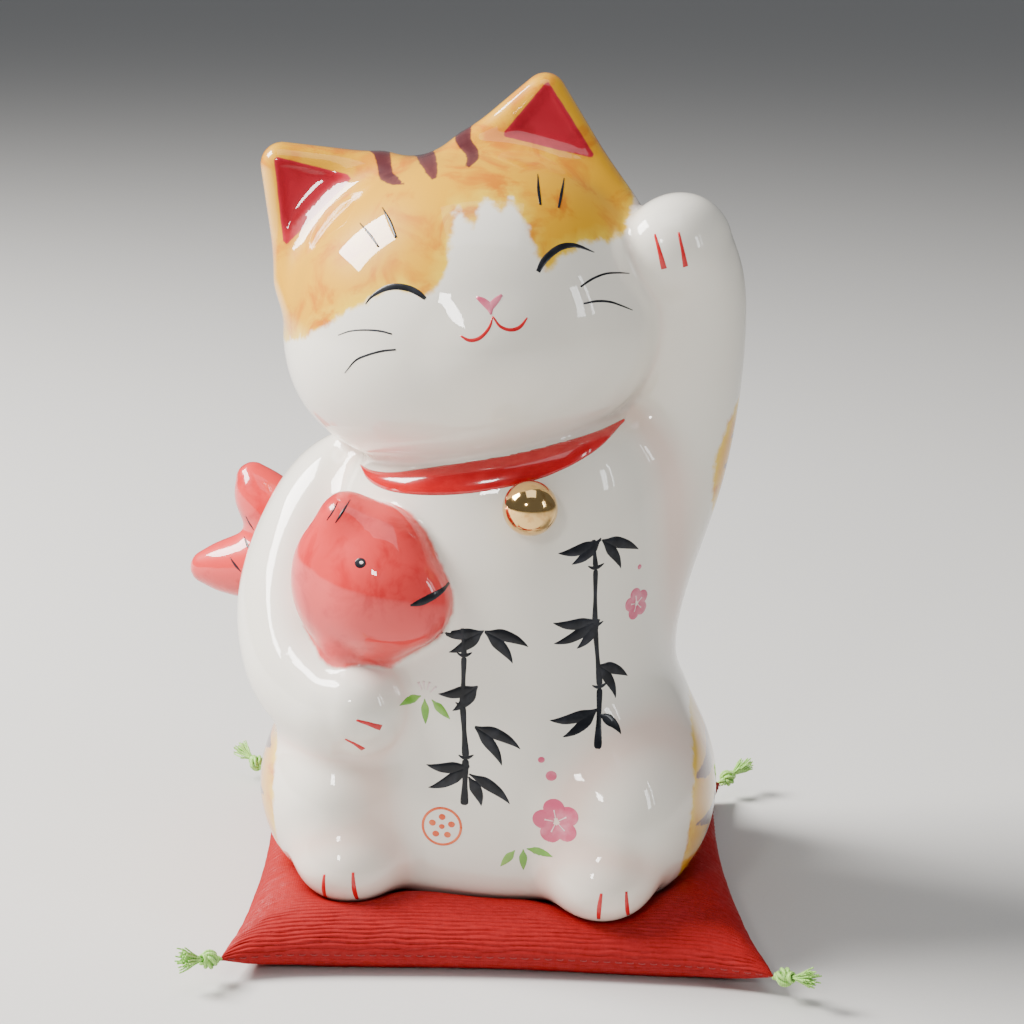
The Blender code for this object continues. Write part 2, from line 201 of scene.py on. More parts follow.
# height, half width, half depth to the front, half depth to the back
TORSO = np.array((
    (0, 39, 34, 35), (5, 45, 38.4, 39.6), (12, 48.6, 40.2, 41.2), (20, 49.6, 40.8, 41.6),
    (29, 47.4, 40.4, 40.6), (39, 42.6, 39.4, 38.6), (49, 38.4, 38.4, 36.6), (61, 36.8, 37.4, 35),
    (73, 36.6, 36.2, 33.4), (83, 36, 34.2, 31.2), (91, 33.4, 31.8, 29), (98, 28, 27, 25),
    (103, 20, 20, 18)), float)
TORSO_CURVE = flowing(TORSO, 8)
SQUARENESS = 2.25
TORSO_TOP = 100.0
SHOULDER_FROM, SHOULDER_TO, SHOULDER_SLOPE = 61.0, 91.0, 0.176
VENT_RADIUS, VENT_DEPTH = 5.0, 7.0
HAUNCH_APART, HAUNCH_RADII = 29.5, (16.5, 23.5, 19.5)
FOOT_APART, FEET_X, FOOT_RADII = 26.3, -0.8, (10.5, 9.5, 8.0)


def torso(p):
    x = p[:, 0] - TORSO_X
    share = np.clip((p[:, 2] - SHOULDER_FROM) / (SHOULDER_TO - SHOULDER_FROM), 0, 1)
    z = p[:, 2] - np.clip(x, -40, 40) * SHOULDER_SLOPE * share ** 2 * (3 - 2 * share)
    width, front, back = (np.interp(z, TORSO_CURVE[:, 0], TORSO_CURVE[:, k]) for k in (1, 2, 3))
    depth = np.where(p[:, 1] < 0, front, back)
    around = (np.abs(x / width) ** SQUARENESS + np.abs(p[:, 1] / depth) ** SQUARENESS)
    side = (around ** (1 / SQUARENESS) - 1) * np.minimum(width, depth) * 0.9
    shell = soft_cut(soft_cut(side, z - TORSO_TOP, 8), -p[:, 2], 7)
    vent = np.maximum(np.hypot(x, p[:, 1]) - VENT_RADIUS, p[:, 2] - VENT_DEPTH)
    return soft_cut(shell, -vent, 1.5)


def haunch(p, side):
    return ball(p, (side * HAUNCH_APART + TORSO_X, -20, 20), HAUNCH_RADII)


def foot(p, side):
    return ball(p, (side * FOOT_APART + FEET_X, -38.5, 9.6), FOOT_RADII)


def cat_tail(p):
    return roll(p, [(0, 36, 9.5, 7.5), (14, 42, 10.5, 8), (27, 41, 19, 7.6), (31, 37, 30, 6.6)])


print("torso:", len(TORSO), "sections, from 0 to", TORSO[-1, 0], "mm")

# %% [markdown]
# ## The head
#
# The head is a wide, flat ellipsoid with a fuller jaw and a low muzzle. It is tilted and
# turned, so its own frame is used for everything on it: x to the cat's left, y backwards,
# z up. The ears are broad triangles with rounded edges, and the painted hollow of each ear is
# pressed half a millimetre into its front.

# %% Head and ears
HEAD = np.array((-9.6, -3.0, 122.3))
HEAD_TILT, HEAD_TURN = -13.5, 8   # degrees
HEAD_AXES = turn(y=HEAD_TILT, z=HEAD_TURN)
EARS = {1: ((8, 31.5), (24, 40.2), (33.5, 14), (18, 6)),
        -1: ((-14, 30.8), (-32.8, 36.9), (-34.2, 14), (-18, 6))}
EAR_HOLLOWS = {1: ((14.2, 34.2), (24.6, 42.2), (30.6, 26.6)),
               -1: ((-19.6, 31.8), (-33.4, 38.2), (-35.0, 21.6))}
EAR_ROUND, EAR_Y, HOLLOW_DEPTH = 4.5, 3.5, 0.5
EAR_HALF_DEPTH, EAR_ROOT, EAR_TAPER = 8.5, 15, 0.12   # an ear thins towards its tip


def on_head(x, y, z):
    """A point of the head's own frame, in the cat's."""
    return HEAD + HEAD_AXES @ np.array((x, y, z), float)


def in_head(p):
    """Points of the cat's frame, in the head's own."""
    return (p - HEAD) @ HEAD_AXES


def head(p):
    skull = ball(p, on_head(0, 0, 1), (39.2, 36, 32.3), HEAD_AXES)
    jaw = ball(p, on_head(0.5, -2, -7), (38.8, 34, 25.5), HEAD_AXES)
    muzzle = ball(p, on_head(3, -30, -5.5), (10, 6.5, 6), HEAD_AXES)
    return soft_union(soft_union(skull, jaw, 8), muzzle, 8)


def ear(p, side):
    q = in_head(p)
    flat = q[:, [0, 2]]
    edge = outline_distance(flat, EARS[side]) - EAR_ROUND
    half_depth = EAR_HALF_DEPTH - EAR_TAPER * (q[:, 2] - EAR_ROOT)
    hollow = np.clip(-outline_distance(flat, EAR_HOLLOWS[side]), 0, 1) * (q[:, 1] < EAR_Y)
    slab = np.abs(q[:, 1] - EAR_Y) - half_depth + HOLLOW_DEPTH * hollow
    return soft_cut(edge, slab, 5)


print("head at", HEAD, "mm, tilted", -HEAD_TILT, "degrees and turned", HEAD_TURN)

# %% [markdown]
# ## Arms and fish
#
# Arms and tails are coils with a changing radius. The fish is held against the body: only
# its head shows in front of the arm, with the rim of the gill around it, and its two tail
# lobes come out behind.

# %% Arms and fish
FISH_AXES = turn(z=-15)
ARM_STEPS = 14   # finer than other coils, since the arms carry long reflections


def raised_arm(p):
    arm = roll(p, [(22, 2, 53, 11), (27.5, 2, 71, 12.5), (32.7, 1, 89, 13),
                   (35.6, -0.5, 109, 12.6), (36, -2, 127, 12), (33.8, -5, 138, 10.8)], ARM_STEPS)
    return soft_union(arm, ball(p, (31.5, -10.5, 137.5), (9.8, 9, 9.6)), 4)


def holding_arm(p):
    return roll(p, [(-27, 5, 85, 11), (-37, 1, 77, 13.5), (-42.6, -9, 60, 14.2),
                    (-40, -21, 47.5, 13), (-32, -31, 42.5, 11.2), (-26.5, -35.5, 43, 9.6)],
                ARM_STEPS)


def fish_body(p):
    gill = ball(p, (-26, -31.5, 68.5), (16.6, 11, 17.4), FISH_AXES)
    gill = soft_union(gill, ball(p, (-31.5, -32, 83.6), (3, 4.5, 3)), 6)
    gill = soft_union(gill, ball(p, (-30, -33, 53), (4, 5, 3.5)), 5)
    face = ball(p, (-23.5, -33.5, 67.8), (13.4, 11.2, 14.2), FISH_AXES)
    snout = ball(p, (-15.5, -38, 66.5), (7.5, 5, 8))
    return soft_union(gill, soft_union(face, snout, 5), 1.2)


def fish_tail_upper(p):
    return roll(p, [(-41, 13, 64, 8), (-50, 14.5, 67.5, 8), (-56.5, 15.5, 73, 6.6),
                    (-59.4, 16, 77.4, 3.9)], 8)


def fish_tail_lower(p):
    return roll(p, [(-42, 12, 60, 8), (-55, 13.5, 58.6, 8.2), (-63.5, 14.5, 57.3, 6.4),
                    (-69.4, 15, 56.6, 3.9)], 8)


print("both arms are coils of", ARM_STEPS, "steps to a knot")

# %% [markdown]
# ## All the clay at once
#
# `clay` joins every lump with the fillet its joint has: wide at the shoulders and haunches,
# tight where the head meets the body and around the fish. It also keeps the distance to each
# lump by itself, which later tells what casting a point of the surface belongs to.

# %% Join the lumps
CASTINGS = {
    "torso": lambda p: np.minimum(np.minimum(torso(p), haunch(p, 1)), haunch(p, -1)),
    "left_foot": lambda p: foot(p, 1), "right_foot": lambda p: foot(p, -1),
    "cat_tail": cat_tail, "raised_arm": raised_arm, "holding_arm": holding_arm, "head": head,
    "left_ear": lambda p: ear(p, 1), "right_ear": lambda p: ear(p, -1), "fish_body": fish_body,
    "fish_tail_upper": fish_tail_upper, "fish_tail_lower": fish_tail_lower,
}
NAMES = list(CASTINGS)
# How wide the joints are, in millimetres
HAUNCH_FILLET, EAR_FILLET, NECK_FILLET = 9, 7, 2.5
LIMB_FILLETS = {"left_foot": 6, "right_foot": 6, "cat_tail": 4, "raised_arm": 9}
HOLDING_FILLET, FINS_FILLET, FISH_TAIL_FILLET, FISH_FILLET = 5, 4, 2, 1.5


def lumps(p):
    """The distance to each casting, a column for each name."""
    return np.stack([shape(p) for shape in CASTINGS.values()], axis=1)


def clay(p):
    """Distance to the whole figure, with its joints sponged smooth."""
    near = dict(zip(NAMES, lumps(p).T))
    body = soft_union(torso(p), haunch(p, 1), HAUNCH_FILLET)
    body = soft_union(body, haunch(p, -1), HAUNCH_FILLET)
    for name, fillet in LIMB_FILLETS.items():
        body = soft_union(body, near[name], fillet)
    skull = soft_union(near["head"], near["left_ear"], EAR_FILLET)
    skull = soft_union(skull, near["right_ear"], EAR_FILLET)
    body = soft_union(body, skull, NECK_FILLET)
    body = soft_union(body, near["holding_arm"], HOLDING_FILLET)
    fins = soft_union(near["fish_tail_upper"], near["fish_tail_lower"], FINS_FILLET)
    body = soft_union(body, fins, FISH_TAIL_FILLET)
    return soft_union(body, near["fish_body"], FISH_FILLET)


def slope(field, points, reach=0.05):
    """Which way a field rises, felt from four places around each point."""
    feelers = reach * np.array(((1, -1, -1), (-1, -1, 1), (-1, 1, -1), (1, 1, 1)), float)
    return sum(f * field(points + f)[:, None] for f in feelers) / (4 * reach ** 2)


def settle(points, field, rounds=3, longest=1.0):
    """Moves points straight onto the surface of a field."""
    for _ in range(rounds):
        rise = slope(field, points)
        share = field(points) / np.maximum((rise ** 2).sum(axis=1), 0.05)
        points = points - rise * np.clip(share, -longest, longest)[:, None]
    return points


def outward(points, field, reach=0.05):
    """The unit normals of a field's surface."""
    rise = slope(field, points, reach)
    return rise / np.linalg.norm(rise, axis=1)[:, None]


print("the nose is", round(float(clay(on_head(3, -36, 0)[None])[0]), 2), "mm from the surface")

# %% [markdown]
# ## From a distance to a mesh
#
# To get a mesh, space is cut into small cubes. Wherever the distance changes sign inside a
# cube, the surface passes through it and the cube gets one corner of the mesh. Four cubes
# that share an edge crossed by the surface make one face. This is called a surface net. The
# corners then slide onto the exact surface and even out their spacing. Most of space is far
# from the clay, so a rough grid first finds the blocks where it is worth looking closely.

# %% Surface net
BLOCK = 4   # fine cells along each side of a rough block


def surface_net(field, low, high, step):
    """Points and four-cornered faces around the zero level of a field."""
    low = np.asarray(low, float)
    blocks = np.ceil((np.asarray(high) - low) / (step * BLOCK)).astype(int)
    rough = low + (np.indices(blocks).reshape(3, -1).T * BLOCK + (BLOCK - 1) / 2) * step
    rough = field(rough).reshape(blocks)
    values, close = (a.repeat(BLOCK, 0).repeat(BLOCK, 1).repeat(BLOCK, 2)
                     for a in (rough, np.abs(rough) < 1.6 * BLOCK * step))
    values[close] = field(low + np.argwhere(close) * step)
    inside = values < 0
    cells = np.zeros(np.array(inside.shape) - 1, int)
    for corner in np.ndindex(2, 2, 2):
        cells += inside[tuple(slice(c, c + n) for c, n in zip(corner, cells.shape))]
    crossed = (cells > 0) & (cells < 8)
    number = np.full(cells.shape, -1)
    number[crossed] = np.arange(crossed.sum())
    faces = []
    for axis in range(3):
        here, there = (np.take(inside, range(s, inside.shape[axis] - 1 + s), axis) for s in (0, 1))
        u, v = np.eye(3, dtype=int)[[(axis + 1) % 3, (axis + 2) % 3]]
        for leaving in (True, False):
            edge = np.argwhere((here != there) & (here == leaving))
            ring = [edge, edge - u, edge - u - v, edge - v]
            face = np.stack([number[tuple(cell.T)] for cell in ring], axis=1)
            faces.append(face if leaving else face[:, ::-1])
    return low + (np.argwhere(crossed) + 0.5) * step, np.vstack(faces)


def even_out(points, faces, field, rounds=2):
    """Slides each corner towards the middle of its neighbours, along the surface."""
    for _ in range(rounds):
        total, count = np.zeros_like(points), np.zeros(len(points))
        for corner in range(4):
            for other in ((corner + 1) % 4, (corner + 3) % 4):
                for k in range(3):
                    total[:, k] += np.bincount(faces[:, corner], points[faces[:, other], k],
                                               len(points))
                count += np.bincount(faces[:, corner], minlength=len(points))
        points = settle(0.5 * points + 0.5 * total / count[:, None], field, 1)
    return points


GRID_STEP = 1.0
FIGURE_LOW, FIGURE_HIGH = (-80, -58, -6), (58, 58, 178)
points, faces = surface_net(clay, FIGURE_LOW, FIGURE_HIGH, GRID_STEP)
points = even_out(settle(points, clay, 2), faces, clay)
print("surface:", len(points), "corners and", len(faces), "faces")

# %% [markdown]
# ## Cut the surface into its castings
#
# The real figure is luted together from separate casts. Each face goes to the lump it is
# nearest to, and the corners along a border slide onto the line where both lumps are equally
# near, so that the seams run clean. Every casting then gets the thickness of a clay wall.

# %% Share out the faces
NORMAL_REACH = 0.8   # a normal is felt over this far, so that a joint doesn't glitter


def share_out(points, faces):
    """The number of the casting each face belongs to."""
    return np.argmin(lumps(points[faces].mean(axis=1)), axis=1)


def clean_seams(points, faces, owner, rounds=3):
    """Moves the corners on a border between two castings onto the line between them."""
    lowest, highest = np.full(len(points), 99), np.full(len(points), -1)
    for corner in range(4):
        np.minimum.at(lowest, faces[:, corner], owner)
        np.maximum.at(highest, faces[:, corner], owner)
    border = np.flatnonzero(lowest != highest)
    a, b, rows = lowest[border], highest[border], np.arange(len(border))

    def gap(p):
        near = lumps(p)
        return near[rows, a] - near[rows, b]

    moved = points[border]
    for _ in range(rounds):
        normal = outward(moved, clay)
        along = slope(gap, moved)
        along -= (along * normal).sum(axis=1)[:, None] * normal
        share = gap(moved) / np.maximum((along ** 2).sum(axis=1), 0.2)
        moved = moved - along * np.clip(share, -0.3, 0.3)[:, None]
    points = points.copy()
    points[border] = settle(moved, clay, 1)
    return points


owner = share_out(points, faces)
points = clean_seams(points, faces, owner)
normals = outward(points, clay, NORMAL_REACH)
print("faces for each casting:", dict(zip(NAMES, np.bincount(owner, minlength=len(NAMES)))))

# %% [markdown]
# ## What is painted where
#
# The painter works in washes: amber over the crown and in patches on the back, brown tabby
# stripes on top of it, crimson in the ears, coral on the fish, and a breath of pink sprayed
# into the creases. Each wash is stored on the mesh as a distance to its edge in millimetres,
# positive inside. A distance stays exact between the corners of the mesh, so the shader can
# draw a crisp or a bleeding edge from it at any size.

# %% Washes
# The lower edge of the amber on the face, in the head's own x and z; the white blaze runs up
# between the eyes and the wash drips into it
FACE_AMBER = ((-60, 1.8), (-39, 1.8), (-34, 3), (-29.4, 5.4), (-24.8, 7.5), (-21, 8.9),
              (-14, 10.8), (-8.4, 8.4), (-5, 10.6), (-2.6, 13.8), (-1.2, 17.6), (0.2, 21.8),
              (1.5, 23.4), (2.6, 21), (3.5, 19.4), (4.8, 21), (5.9, 23.2), (7.4, 24.1),
              (8.6, 21.9), (9.8, 20.9), (11, 21.9), (12.2, 23), (13.4, 19.4), (14.5, 15.2),
              (14.8, 11), (15.9, 8.4), (17.5, 8.4), (19.4, 10.4), (23.9, 11.4), (29.2, 10.7),
              (32.9, 10.2), (35.3, 12.4), (37, 14.6), (38.6, 19), (60, 26), (60, 80), (-60, 80))
# The edge at the back of the head, from the cat's right to its left
NAPE_AMBER = ((-60, 1.8), (-39, 1.8), (-31, -3), (-24, -9), (-15, -6), (-7, -13), (3, -9),
              (12, -11), (20, -4), (29, 4), (36, 13), (38.6, 19), (60, 26), (60, 80), (-60, 80))
# Middle and radii of the amber patches on the body
AMBER_PATCHES = (((46, 8, 18), (22, 40, 22)), ((-49, 8, 18), (24, 44, 24)),
                 ((50, 8, 93), (16, 17, 17)), ((-4, 40, 66), (25, 20, 24)))
# Tabby stripes as curves with a half width: on the crown in the head's own x and y, on the
# body in y and z, and on the back in x and z
CROWN_STRIPES = (((-8.4, -15.9, 0.3), (-10.6, -12, 1.2), (-11.8, -7, 1.5), (-11.7, -2.5, 1.6),
                  (-12.6, 6, 2.2), (-12, 14, 1.6), (-10.5, 20, 0.3)),
                 ((-2.2, -18.2, 0.3), (-2.3, -15, 1.1), (-2.6, -10, 1.7), (-3, -3, 1.9),
                  (-3.3, 6, 2.2), (-3, 14, 1.6), (-2.8, 21, 0.3)),
                 ((5, -15.2, 0.4), (6.3, -11.5, 1.2), (6.2, -7, 1.5), (5.3, -3, 1.7),
                  (6.2, 6, 2), (6.4, 14, 1.5), (5.6, 20, 0.3)))
HIP_STRIPES = (((-25, 29, 0.3), (-16, 28, 1.7), (-5, 28.5, 2.1), (5, 31, 0.3)),
               ((-28, 19.5, 0.3), (-17, 18, 1.8), (-5, 18.5, 2.1), (6, 21, 0.3)),
               ((-24, 9.5, 0.3), (-14, 8, 1.6), (-4, 8.6, 1.9), (6, 11, 0.3)))
SADDLE_STRIPES = (((-18, 78, 0.3), (-8, 75.5, 2), (4, 76, 2), (13, 79, 0.3)),
                  ((-20, 67, 0.3), (-9, 64.5, 2.3), (4, 65, 2.3), (15, 68, 0.3)),
                  ((-17, 56, 0.3), (-8, 53.8, 2), (3, 54.2, 2), (11, 57, 0.3)))
ARM_STRIPES = (((-3, 97.5, 0.3), (3, 99, 1.5), (9, 100, 0.3)),
               ((-3.5, 91, 0.3), (3, 91.5, 1.6), (9, 92, 0.3)))
TAIL_STRIPES = ((7, 39, 10), (17, 42.5, 12.5), (26, 41.5, 19), (30.5, 38, 27.5))


def amber_wash(p, near):
    q = in_head(p)
    flat = q[:, [0, 2]]
    crown = -np.where(q[:, 1] < 2, outline_distance(flat, FACE_AMBER),
                      outline_distance(flat, NAPE_AMBER))
    skull = np.minimum(np.minimum(near["head"], near["left_ear"]), near["right_ear"])
    others = [near[n] for n in ("torso", "raised_arm", "holding_arm", "fish_tail_upper")]
    wash = np.minimum(crown, np.min(others, axis=0) - skull + 0.4)
    for middle, radii in AMBER_PATCHES:
        wash = np.maximum(wash, -ball(p, middle, radii))
    return np.maximum(wash, near["torso"] - near["cat_tail"])


def stripe_wash(p, near):
    wash = np.full(len(p), -20.0)
    q = in_head(p)
    none = np.zeros(len(p))
    seen_from = [((q[:, 0], q[:, 1]), CROWN_STRIPES, q[:, 2] > 22),
                 ((p[:, 1], p[:, 2]), HIP_STRIPES, np.abs(p[:, 0]) > 30),
                 ((p[:, 1], p[:, 2]), ARM_STRIPES, p[:, 0] > 30),
                 ((p[:, 0], p[:, 2]), SADDLE_STRIPES, p[:, 1] > 0)]
    for axes, stripes, there in seen_from:
        flat = np.stack([*axes, none], axis=1)
        for knots in stripes:
            stripe = -roll(flat, [(k[0], k[1], 0, k[2]) for k in knots])
            wash = np.maximum(wash, np.where(there, stripe, -20))
    for place in TAIL_STRIPES:
        ring = 9.5 - np.linalg.norm(p - np.array(place), axis=1)
        band = 1.6 - np.abs((p - np.array(place)) @ np.array((0.75, 0.1, 0.65)))
        wash = np.maximum(wash, np.minimum(np.minimum(ring, band), near["torso"] - 1.5))
    return wash


def ear_wash(p):
    q = in_head(p)
    hollows = [-outline_distance(q[:, [0, 2]], EAR_HOLLOWS[side]) for side in (1, -1)]
    return np.minimum(np.maximum(*hollows) + 0.6, EAR_Y - q[:, 1])


def fish_wash(p, near):
    fish = np.min([near[n] for n in ("fish_body", "fish_tail_upper", "fish_tail_lower")], axis=0)
    rest = np.min([near[n] for n in ("torso", "holding_arm", "head")], axis=0)
    return rest - fish


def crease(near):
    """How deep a point lies in the fillet between two castings, from 0 to 1."""
    return np.clip(np.min(list(near.values()), axis=0) / 1.6, 0, 1)


def washes(p):
    near = dict(zip(NAMES, lumps(p).T))
    foot_edge = np.clip(1 - np.abs(p[:, 2] - 2) / 9, 0, 1)
    paws = np.clip(1 - np.minimum(near["left_foot"], near["right_foot"]) / 7, 0, 1)
    blush = np.clip(crease(near) + 0.45 * foot_edge + 0.35 * paws, 0, 1)
    return {"amber": amber_wash(p, near), "stripe": stripe_wash(p, near),
            "ear_red": ear_wash(p), "coral": fish_wash(p, near), "blush": blush,
            "bare_clay": 1.2 - p[:, 2]}


painted = washes(points)
print("washes:", {name: round(float((v > 0).mean()), 3) for name, v in painted.items()})

# %% [markdown]
# ## Casting pieces
#
# A piece is the outer face of a casting, a copy of it moved inwards by the thickness of the
# clay, and a rim that closes the two. The normals come from the distance and not from the
# faces, so light runs over a seam between two castings as if it wasn't there.

# %% Build the castings
CLAY_WALL = 2.0


def new_object(name, mesh):
    made = bpy.data.objects.new(name, mesh)
    bpy.context.collection.objects.link(made)
    return made


def loose_rims(faces):
    """Edges that only one face uses, in that face's direction."""
    starts = faces.ravel()
    ends = np.roll(faces, -1, axis=1).ravel()
    size = faces.max() + 1
    single = ~np.isin(starts * size + ends, ends * size + starts)
    return starts[single], ends[single]


def casting(name, kept):
    """One closed casting from the faces that belong to it."""
    used, faces_here = np.unique(faces[kept], return_inverse=True)
    faces_here = faces_here.reshape(-1, 4)
    count = len(used)
    outer = points[used]
    starts, ends = loose_rims(faces_here)
    rims = np.stack([ends, starts, starts + count, ends + count], axis=1)
    inner = faces_here[:, ::-1] + count
    corners = np.vstack([outer, outer - normals[used] * CLAY_WALL])
    mesh = bpy.data.meshes.new(name)
    mesh.from_pydata((corners + (0, 0, SEAT)) * MM, [], np.vstack([faces_here, inner, rims]))
    mesh.shade_smooth()
    for wash, values in painted.items():
        stored = mesh.attributes.new(wash, "FLOAT", "POINT")
        stored.data.foreach_set("value", np.tile(values[used], 2).astype(np.float32))
    mesh.normals_split_custom_set_from_vertices(np.vstack([normals[used], -normals[used]]))
    return new_object(name, mesh)


castings = {}
for index, name in enumerate(NAMES):
    castings[name] = casting(name + "_cast", owner == index)
print("castings:", {name: len(made.data.polygons) for name, made in castings.items()})

# %% [markdown]
# ## Helpers for materials
#
# Each finish is a small node tree. `put` adds a node with its settings and links in one line,
# and a few short functions stand for the nodes that come up again and again, so that the trees
# below read as lists of what they do. What several finishes share is a node group with named
# inputs, built once.

# %% Node helpers
NODE_SETTINGS = {"operation", "data_type", "interpolation_type", "attribute_name",
                 "noise_dimensions", "mode", "uv_map", "bands_direction"}


def feed(tree, socket, value):
    """Links a socket to another one, or sets its value."""
    if isinstance(value, bpy.types.NodeSocket):
        tree.links.new(value, socket)
    else:
        socket.default_value = value


def wire(tree, node, **inputs):
    """Feeds a node's sockets by their names."""
    for key, value in inputs.items():
        feed(tree, node.inputs[key.replace("_", " ")], value)
    return node


def put(tree, kind, **inputs):
    """Adds a node. A socket goes by its name, or by i and its number."""
    node = tree.nodes.new(kind)
    for key, value in inputs.items():
        if key in NODE_SETTINGS:
            setattr(node, key, value)
            continue
        named = [s for s in node.inputs if s.enabled and s.name == key.replace("_", " ")]
        feed(tree, named[0] if named else node.inputs[int(key[1:])], value)
    return node


def group(name, takes, gives):
    """A shader node group with named inputs and outputs, and its two end nodes."""
    tree = bpy.data.node_groups.new(name, "ShaderNodeTree")
    for label, kind, value in takes:
        socket = tree.interface.new_socket(label, in_out="INPUT", socket_type=kind)
        socket.default_value = value
    for label, kind in gives:
        tree.interface.new_socket(label, in_out="OUTPUT", socket_type=kind)
    return tree, tree.nodes.new("NodeGroupInput").outputs, tree.nodes.new("NodeGroupOutput")


def use(tree, shared, **inputs):
    """Places a shared group in a tree."""
    node = tree.nodes.new("ShaderNodeGroup")
    node.node_tree = shared
    return wire(tree, node, **inputs)


def finish_material(name, **fixed):
    """A new material, its tree, and its Principled shader with fixed values set on sockets."""
    material = bpy.data.materials.new(name)
    material.use_nodes = True
    tree = material.node_tree
    return material, tree, wire(tree, tree.nodes["Principled BSDF"], **fixed)


def place(tree):
    return put(tree, "ShaderNodeTexCoord").outputs["Object"]


def mixed(tree, factor, a, b):
    """A mix between two colours."""
    return put(tree, "ShaderNodeMix", data_type="RGBA", i0=factor, i6=a, i7=b).outputs[2]


def calc(tree, operation, *terms):
    """A sum with up to three numbers or sockets."""
    node = put(tree, "ShaderNodeMath", operation=operation)
    for socket, term in zip(node.inputs, terms):
        feed(tree, socket, term)
    return node.outputs[0]


def noise(tree, scale, detail=2.0, at=None, **more):
    """A noise value, on the object's own coordinates unless others are given."""
    return put(tree, "ShaderNodeTexNoise", Vector=at or place(tree), Scale=scale, Detail=detail,
               **more).outputs[0]


def ramp(tree, value, low, high, first=0.0, last=1.0, **more):
    """A value taken from one range to another, and held at its ends."""
    return put(tree, "ShaderNodeMapRange", Value=value, From_Min=low, From_Max=high,
               To_Min=first, To_Max=last, **more).outputs[0]


def bump(tree, height, strength, depth):
    """The normal of a fine relief, with its depth in metres."""
    return put(tree, "ShaderNodeBump", Height=height, Strength=strength, Distance=depth).outputs[0]


print("node helpers ready")

# %% [markdown]
# ## The brushed wash
#
# Underglaze colour is painted wet on chalky biscuit ware. It soaks in at once, so every pass
# of the brush shows: thin and yellow where it ran out, dark where it pooled, and a ragged
# edge. The group takes the distance to the edge of the painted area and gives back the
# colour with the wash over it.

# %% Wash group
wash_tree, takes, gives = group(
    "brushed_wash",
    (("Under", "NodeSocketColor", (1, 1, 1, 1)), ("Thin", "NodeSocketColor", (1, 1, 1, 1)),
     ("Full", "NodeSocketColor", (1, 1, 1, 1)), ("Pooled", "NodeSocketColor", (1, 1, 1, 1)),
     ("Distance", "NodeSocketFloat", 0.0), ("Bleed", "NodeSocketFloat", 0.5),
     ("Ragged", "NodeSocketFloat", 0.5)),
    (("Color", "NodeSocketColor"),))
uneven_edge = calc(wash_tree, "SUBTRACT", noise(wash_tree, 420.0, 3.0), 0.5)
ragged = calc(wash_tree, "MULTIPLY_ADD", uneven_edge, takes["Ragged"], takes["Distance"])
mask = ramp(wash_tree, ragged, calc(wash_tree, "MULTIPLY", takes["Bleed"], -1.0), takes["Bleed"],
            interpolation_type="SMOOTHSTEP")
full = ramp(wash_tree, ragged, 0.0, calc(wash_tree, "MULTIPLY", takes["Bleed"], 4.5))
pools = ramp(wash_tree, noise(wash_tree, 95.0, 4.0, Roughness=0.6, Distortion=0.6), 0.46, 0.68,
             interpolation_type="SMOOTHSTEP")
wet = mixed(wash_tree, full, takes["Thin"], takes["Full"])
wet = mixed(wash_tree, pools, wet, takes["Pooled"])
wire(wash_tree, gives, Color=mixed(wash_tree, mask, takes["Under"], wet))
print("wash group:", len(wash_tree.nodes), "nodes")

# %% [markdown]
# ## The glaze
#
# Over the colours lies a clear glass coat. The clay body scatters light like chalk, and the
# coat gives the sharp reflections, so the body is rough and the coat is smooth. A glaze is
# never quite even: a long, low bump makes the reflections swim, and the few small ones make
# the rippled streaks a window leaves on it. The foot is wiped clean before firing, which
# leaves bare clay.

# %% Painted glaze
def stored(tree, name):
    return put(tree, "ShaderNodeAttribute", attribute_name=name).outputs["Fac"]


def glaze_ripple(tree):
    """The normal of an uneven glass coat."""
    long_wave, short_wave = noise(tree, 45.0, 1.0), noise(tree, 260.0, 2.0)
    both = calc(tree, "MULTIPLY_ADD", short_wave, 0.12, long_wave)
    return bump(tree, both, 0.5, 0.00048)


CREAM, WARM_CREAM = (0.90, 0.865, 0.78, 1), (0.87, 0.82, 0.71, 1)
PINK_SPRAY, BARE_CLAY = (0.84, 0.55, 0.45, 1), (0.62, 0.55, 0.45, 1)
# Each wash's colour where it is thin, full and pooled, and how far it bleeds and frays in mm
GLAZE_WASHES = {
    "amber": ((0.90, 0.60, 0.03, 1), (0.80, 0.39, 0.0, 1), (0.66, 0.20, 0.0, 1), 0.75, 3.2),
    "stripe": ((0.17, 0.05, 0.04, 1), (0.11, 0.028, 0.028, 1), (0.07, 0.012, 0.016, 1),
               0.2, 0.8),
    "ear_red": ((0.50, 0.02, 0.045, 1), (0.42, 0.006, 0.022, 1), (0.33, 0.003, 0.012, 1),
                0.14, 0.3),
    "coral": ((0.86, 0.17, 0.15, 1), (0.76, 0.045, 0.045, 1), (0.60, 0.010, 0.014, 1), 0.7, 1.6),
}
glaze, tree, shader = finish_material("painted_glaze", Roughness=0.4, Specular_IOR_Level=0.15,
                                      Coat_Weight=1.0, Coat_Roughness=0.02, Coat_IOR=1.5)
colour = mixed(tree, noise(tree, 28.0, 3.0), CREAM, WARM_CREAM)
colour = mixed(tree, calc(tree, "MULTIPLY", stored(tree, "blush"), 0.55), colour, PINK_SPRAY)
for wash, (thin, full, pooled, bleed, fray) in GLAZE_WASHES.items():
    colour = use(tree, wash_tree, Under=colour, Thin=thin, Full=full, Pooled=pooled,
                 Distance=stored(tree, wash), Bleed=bleed, Ragged=fray).outputs["Color"]
bare = ramp(tree, stored(tree, "bare_clay"), 0.0, 0.4)
wire(tree, shader, Base_Color=mixed(tree, bare, colour, BARE_CLAY),
     Coat_Weight=calc(tree, "SUBTRACT", 1.0, bare), Normal=glaze_ripple(tree))
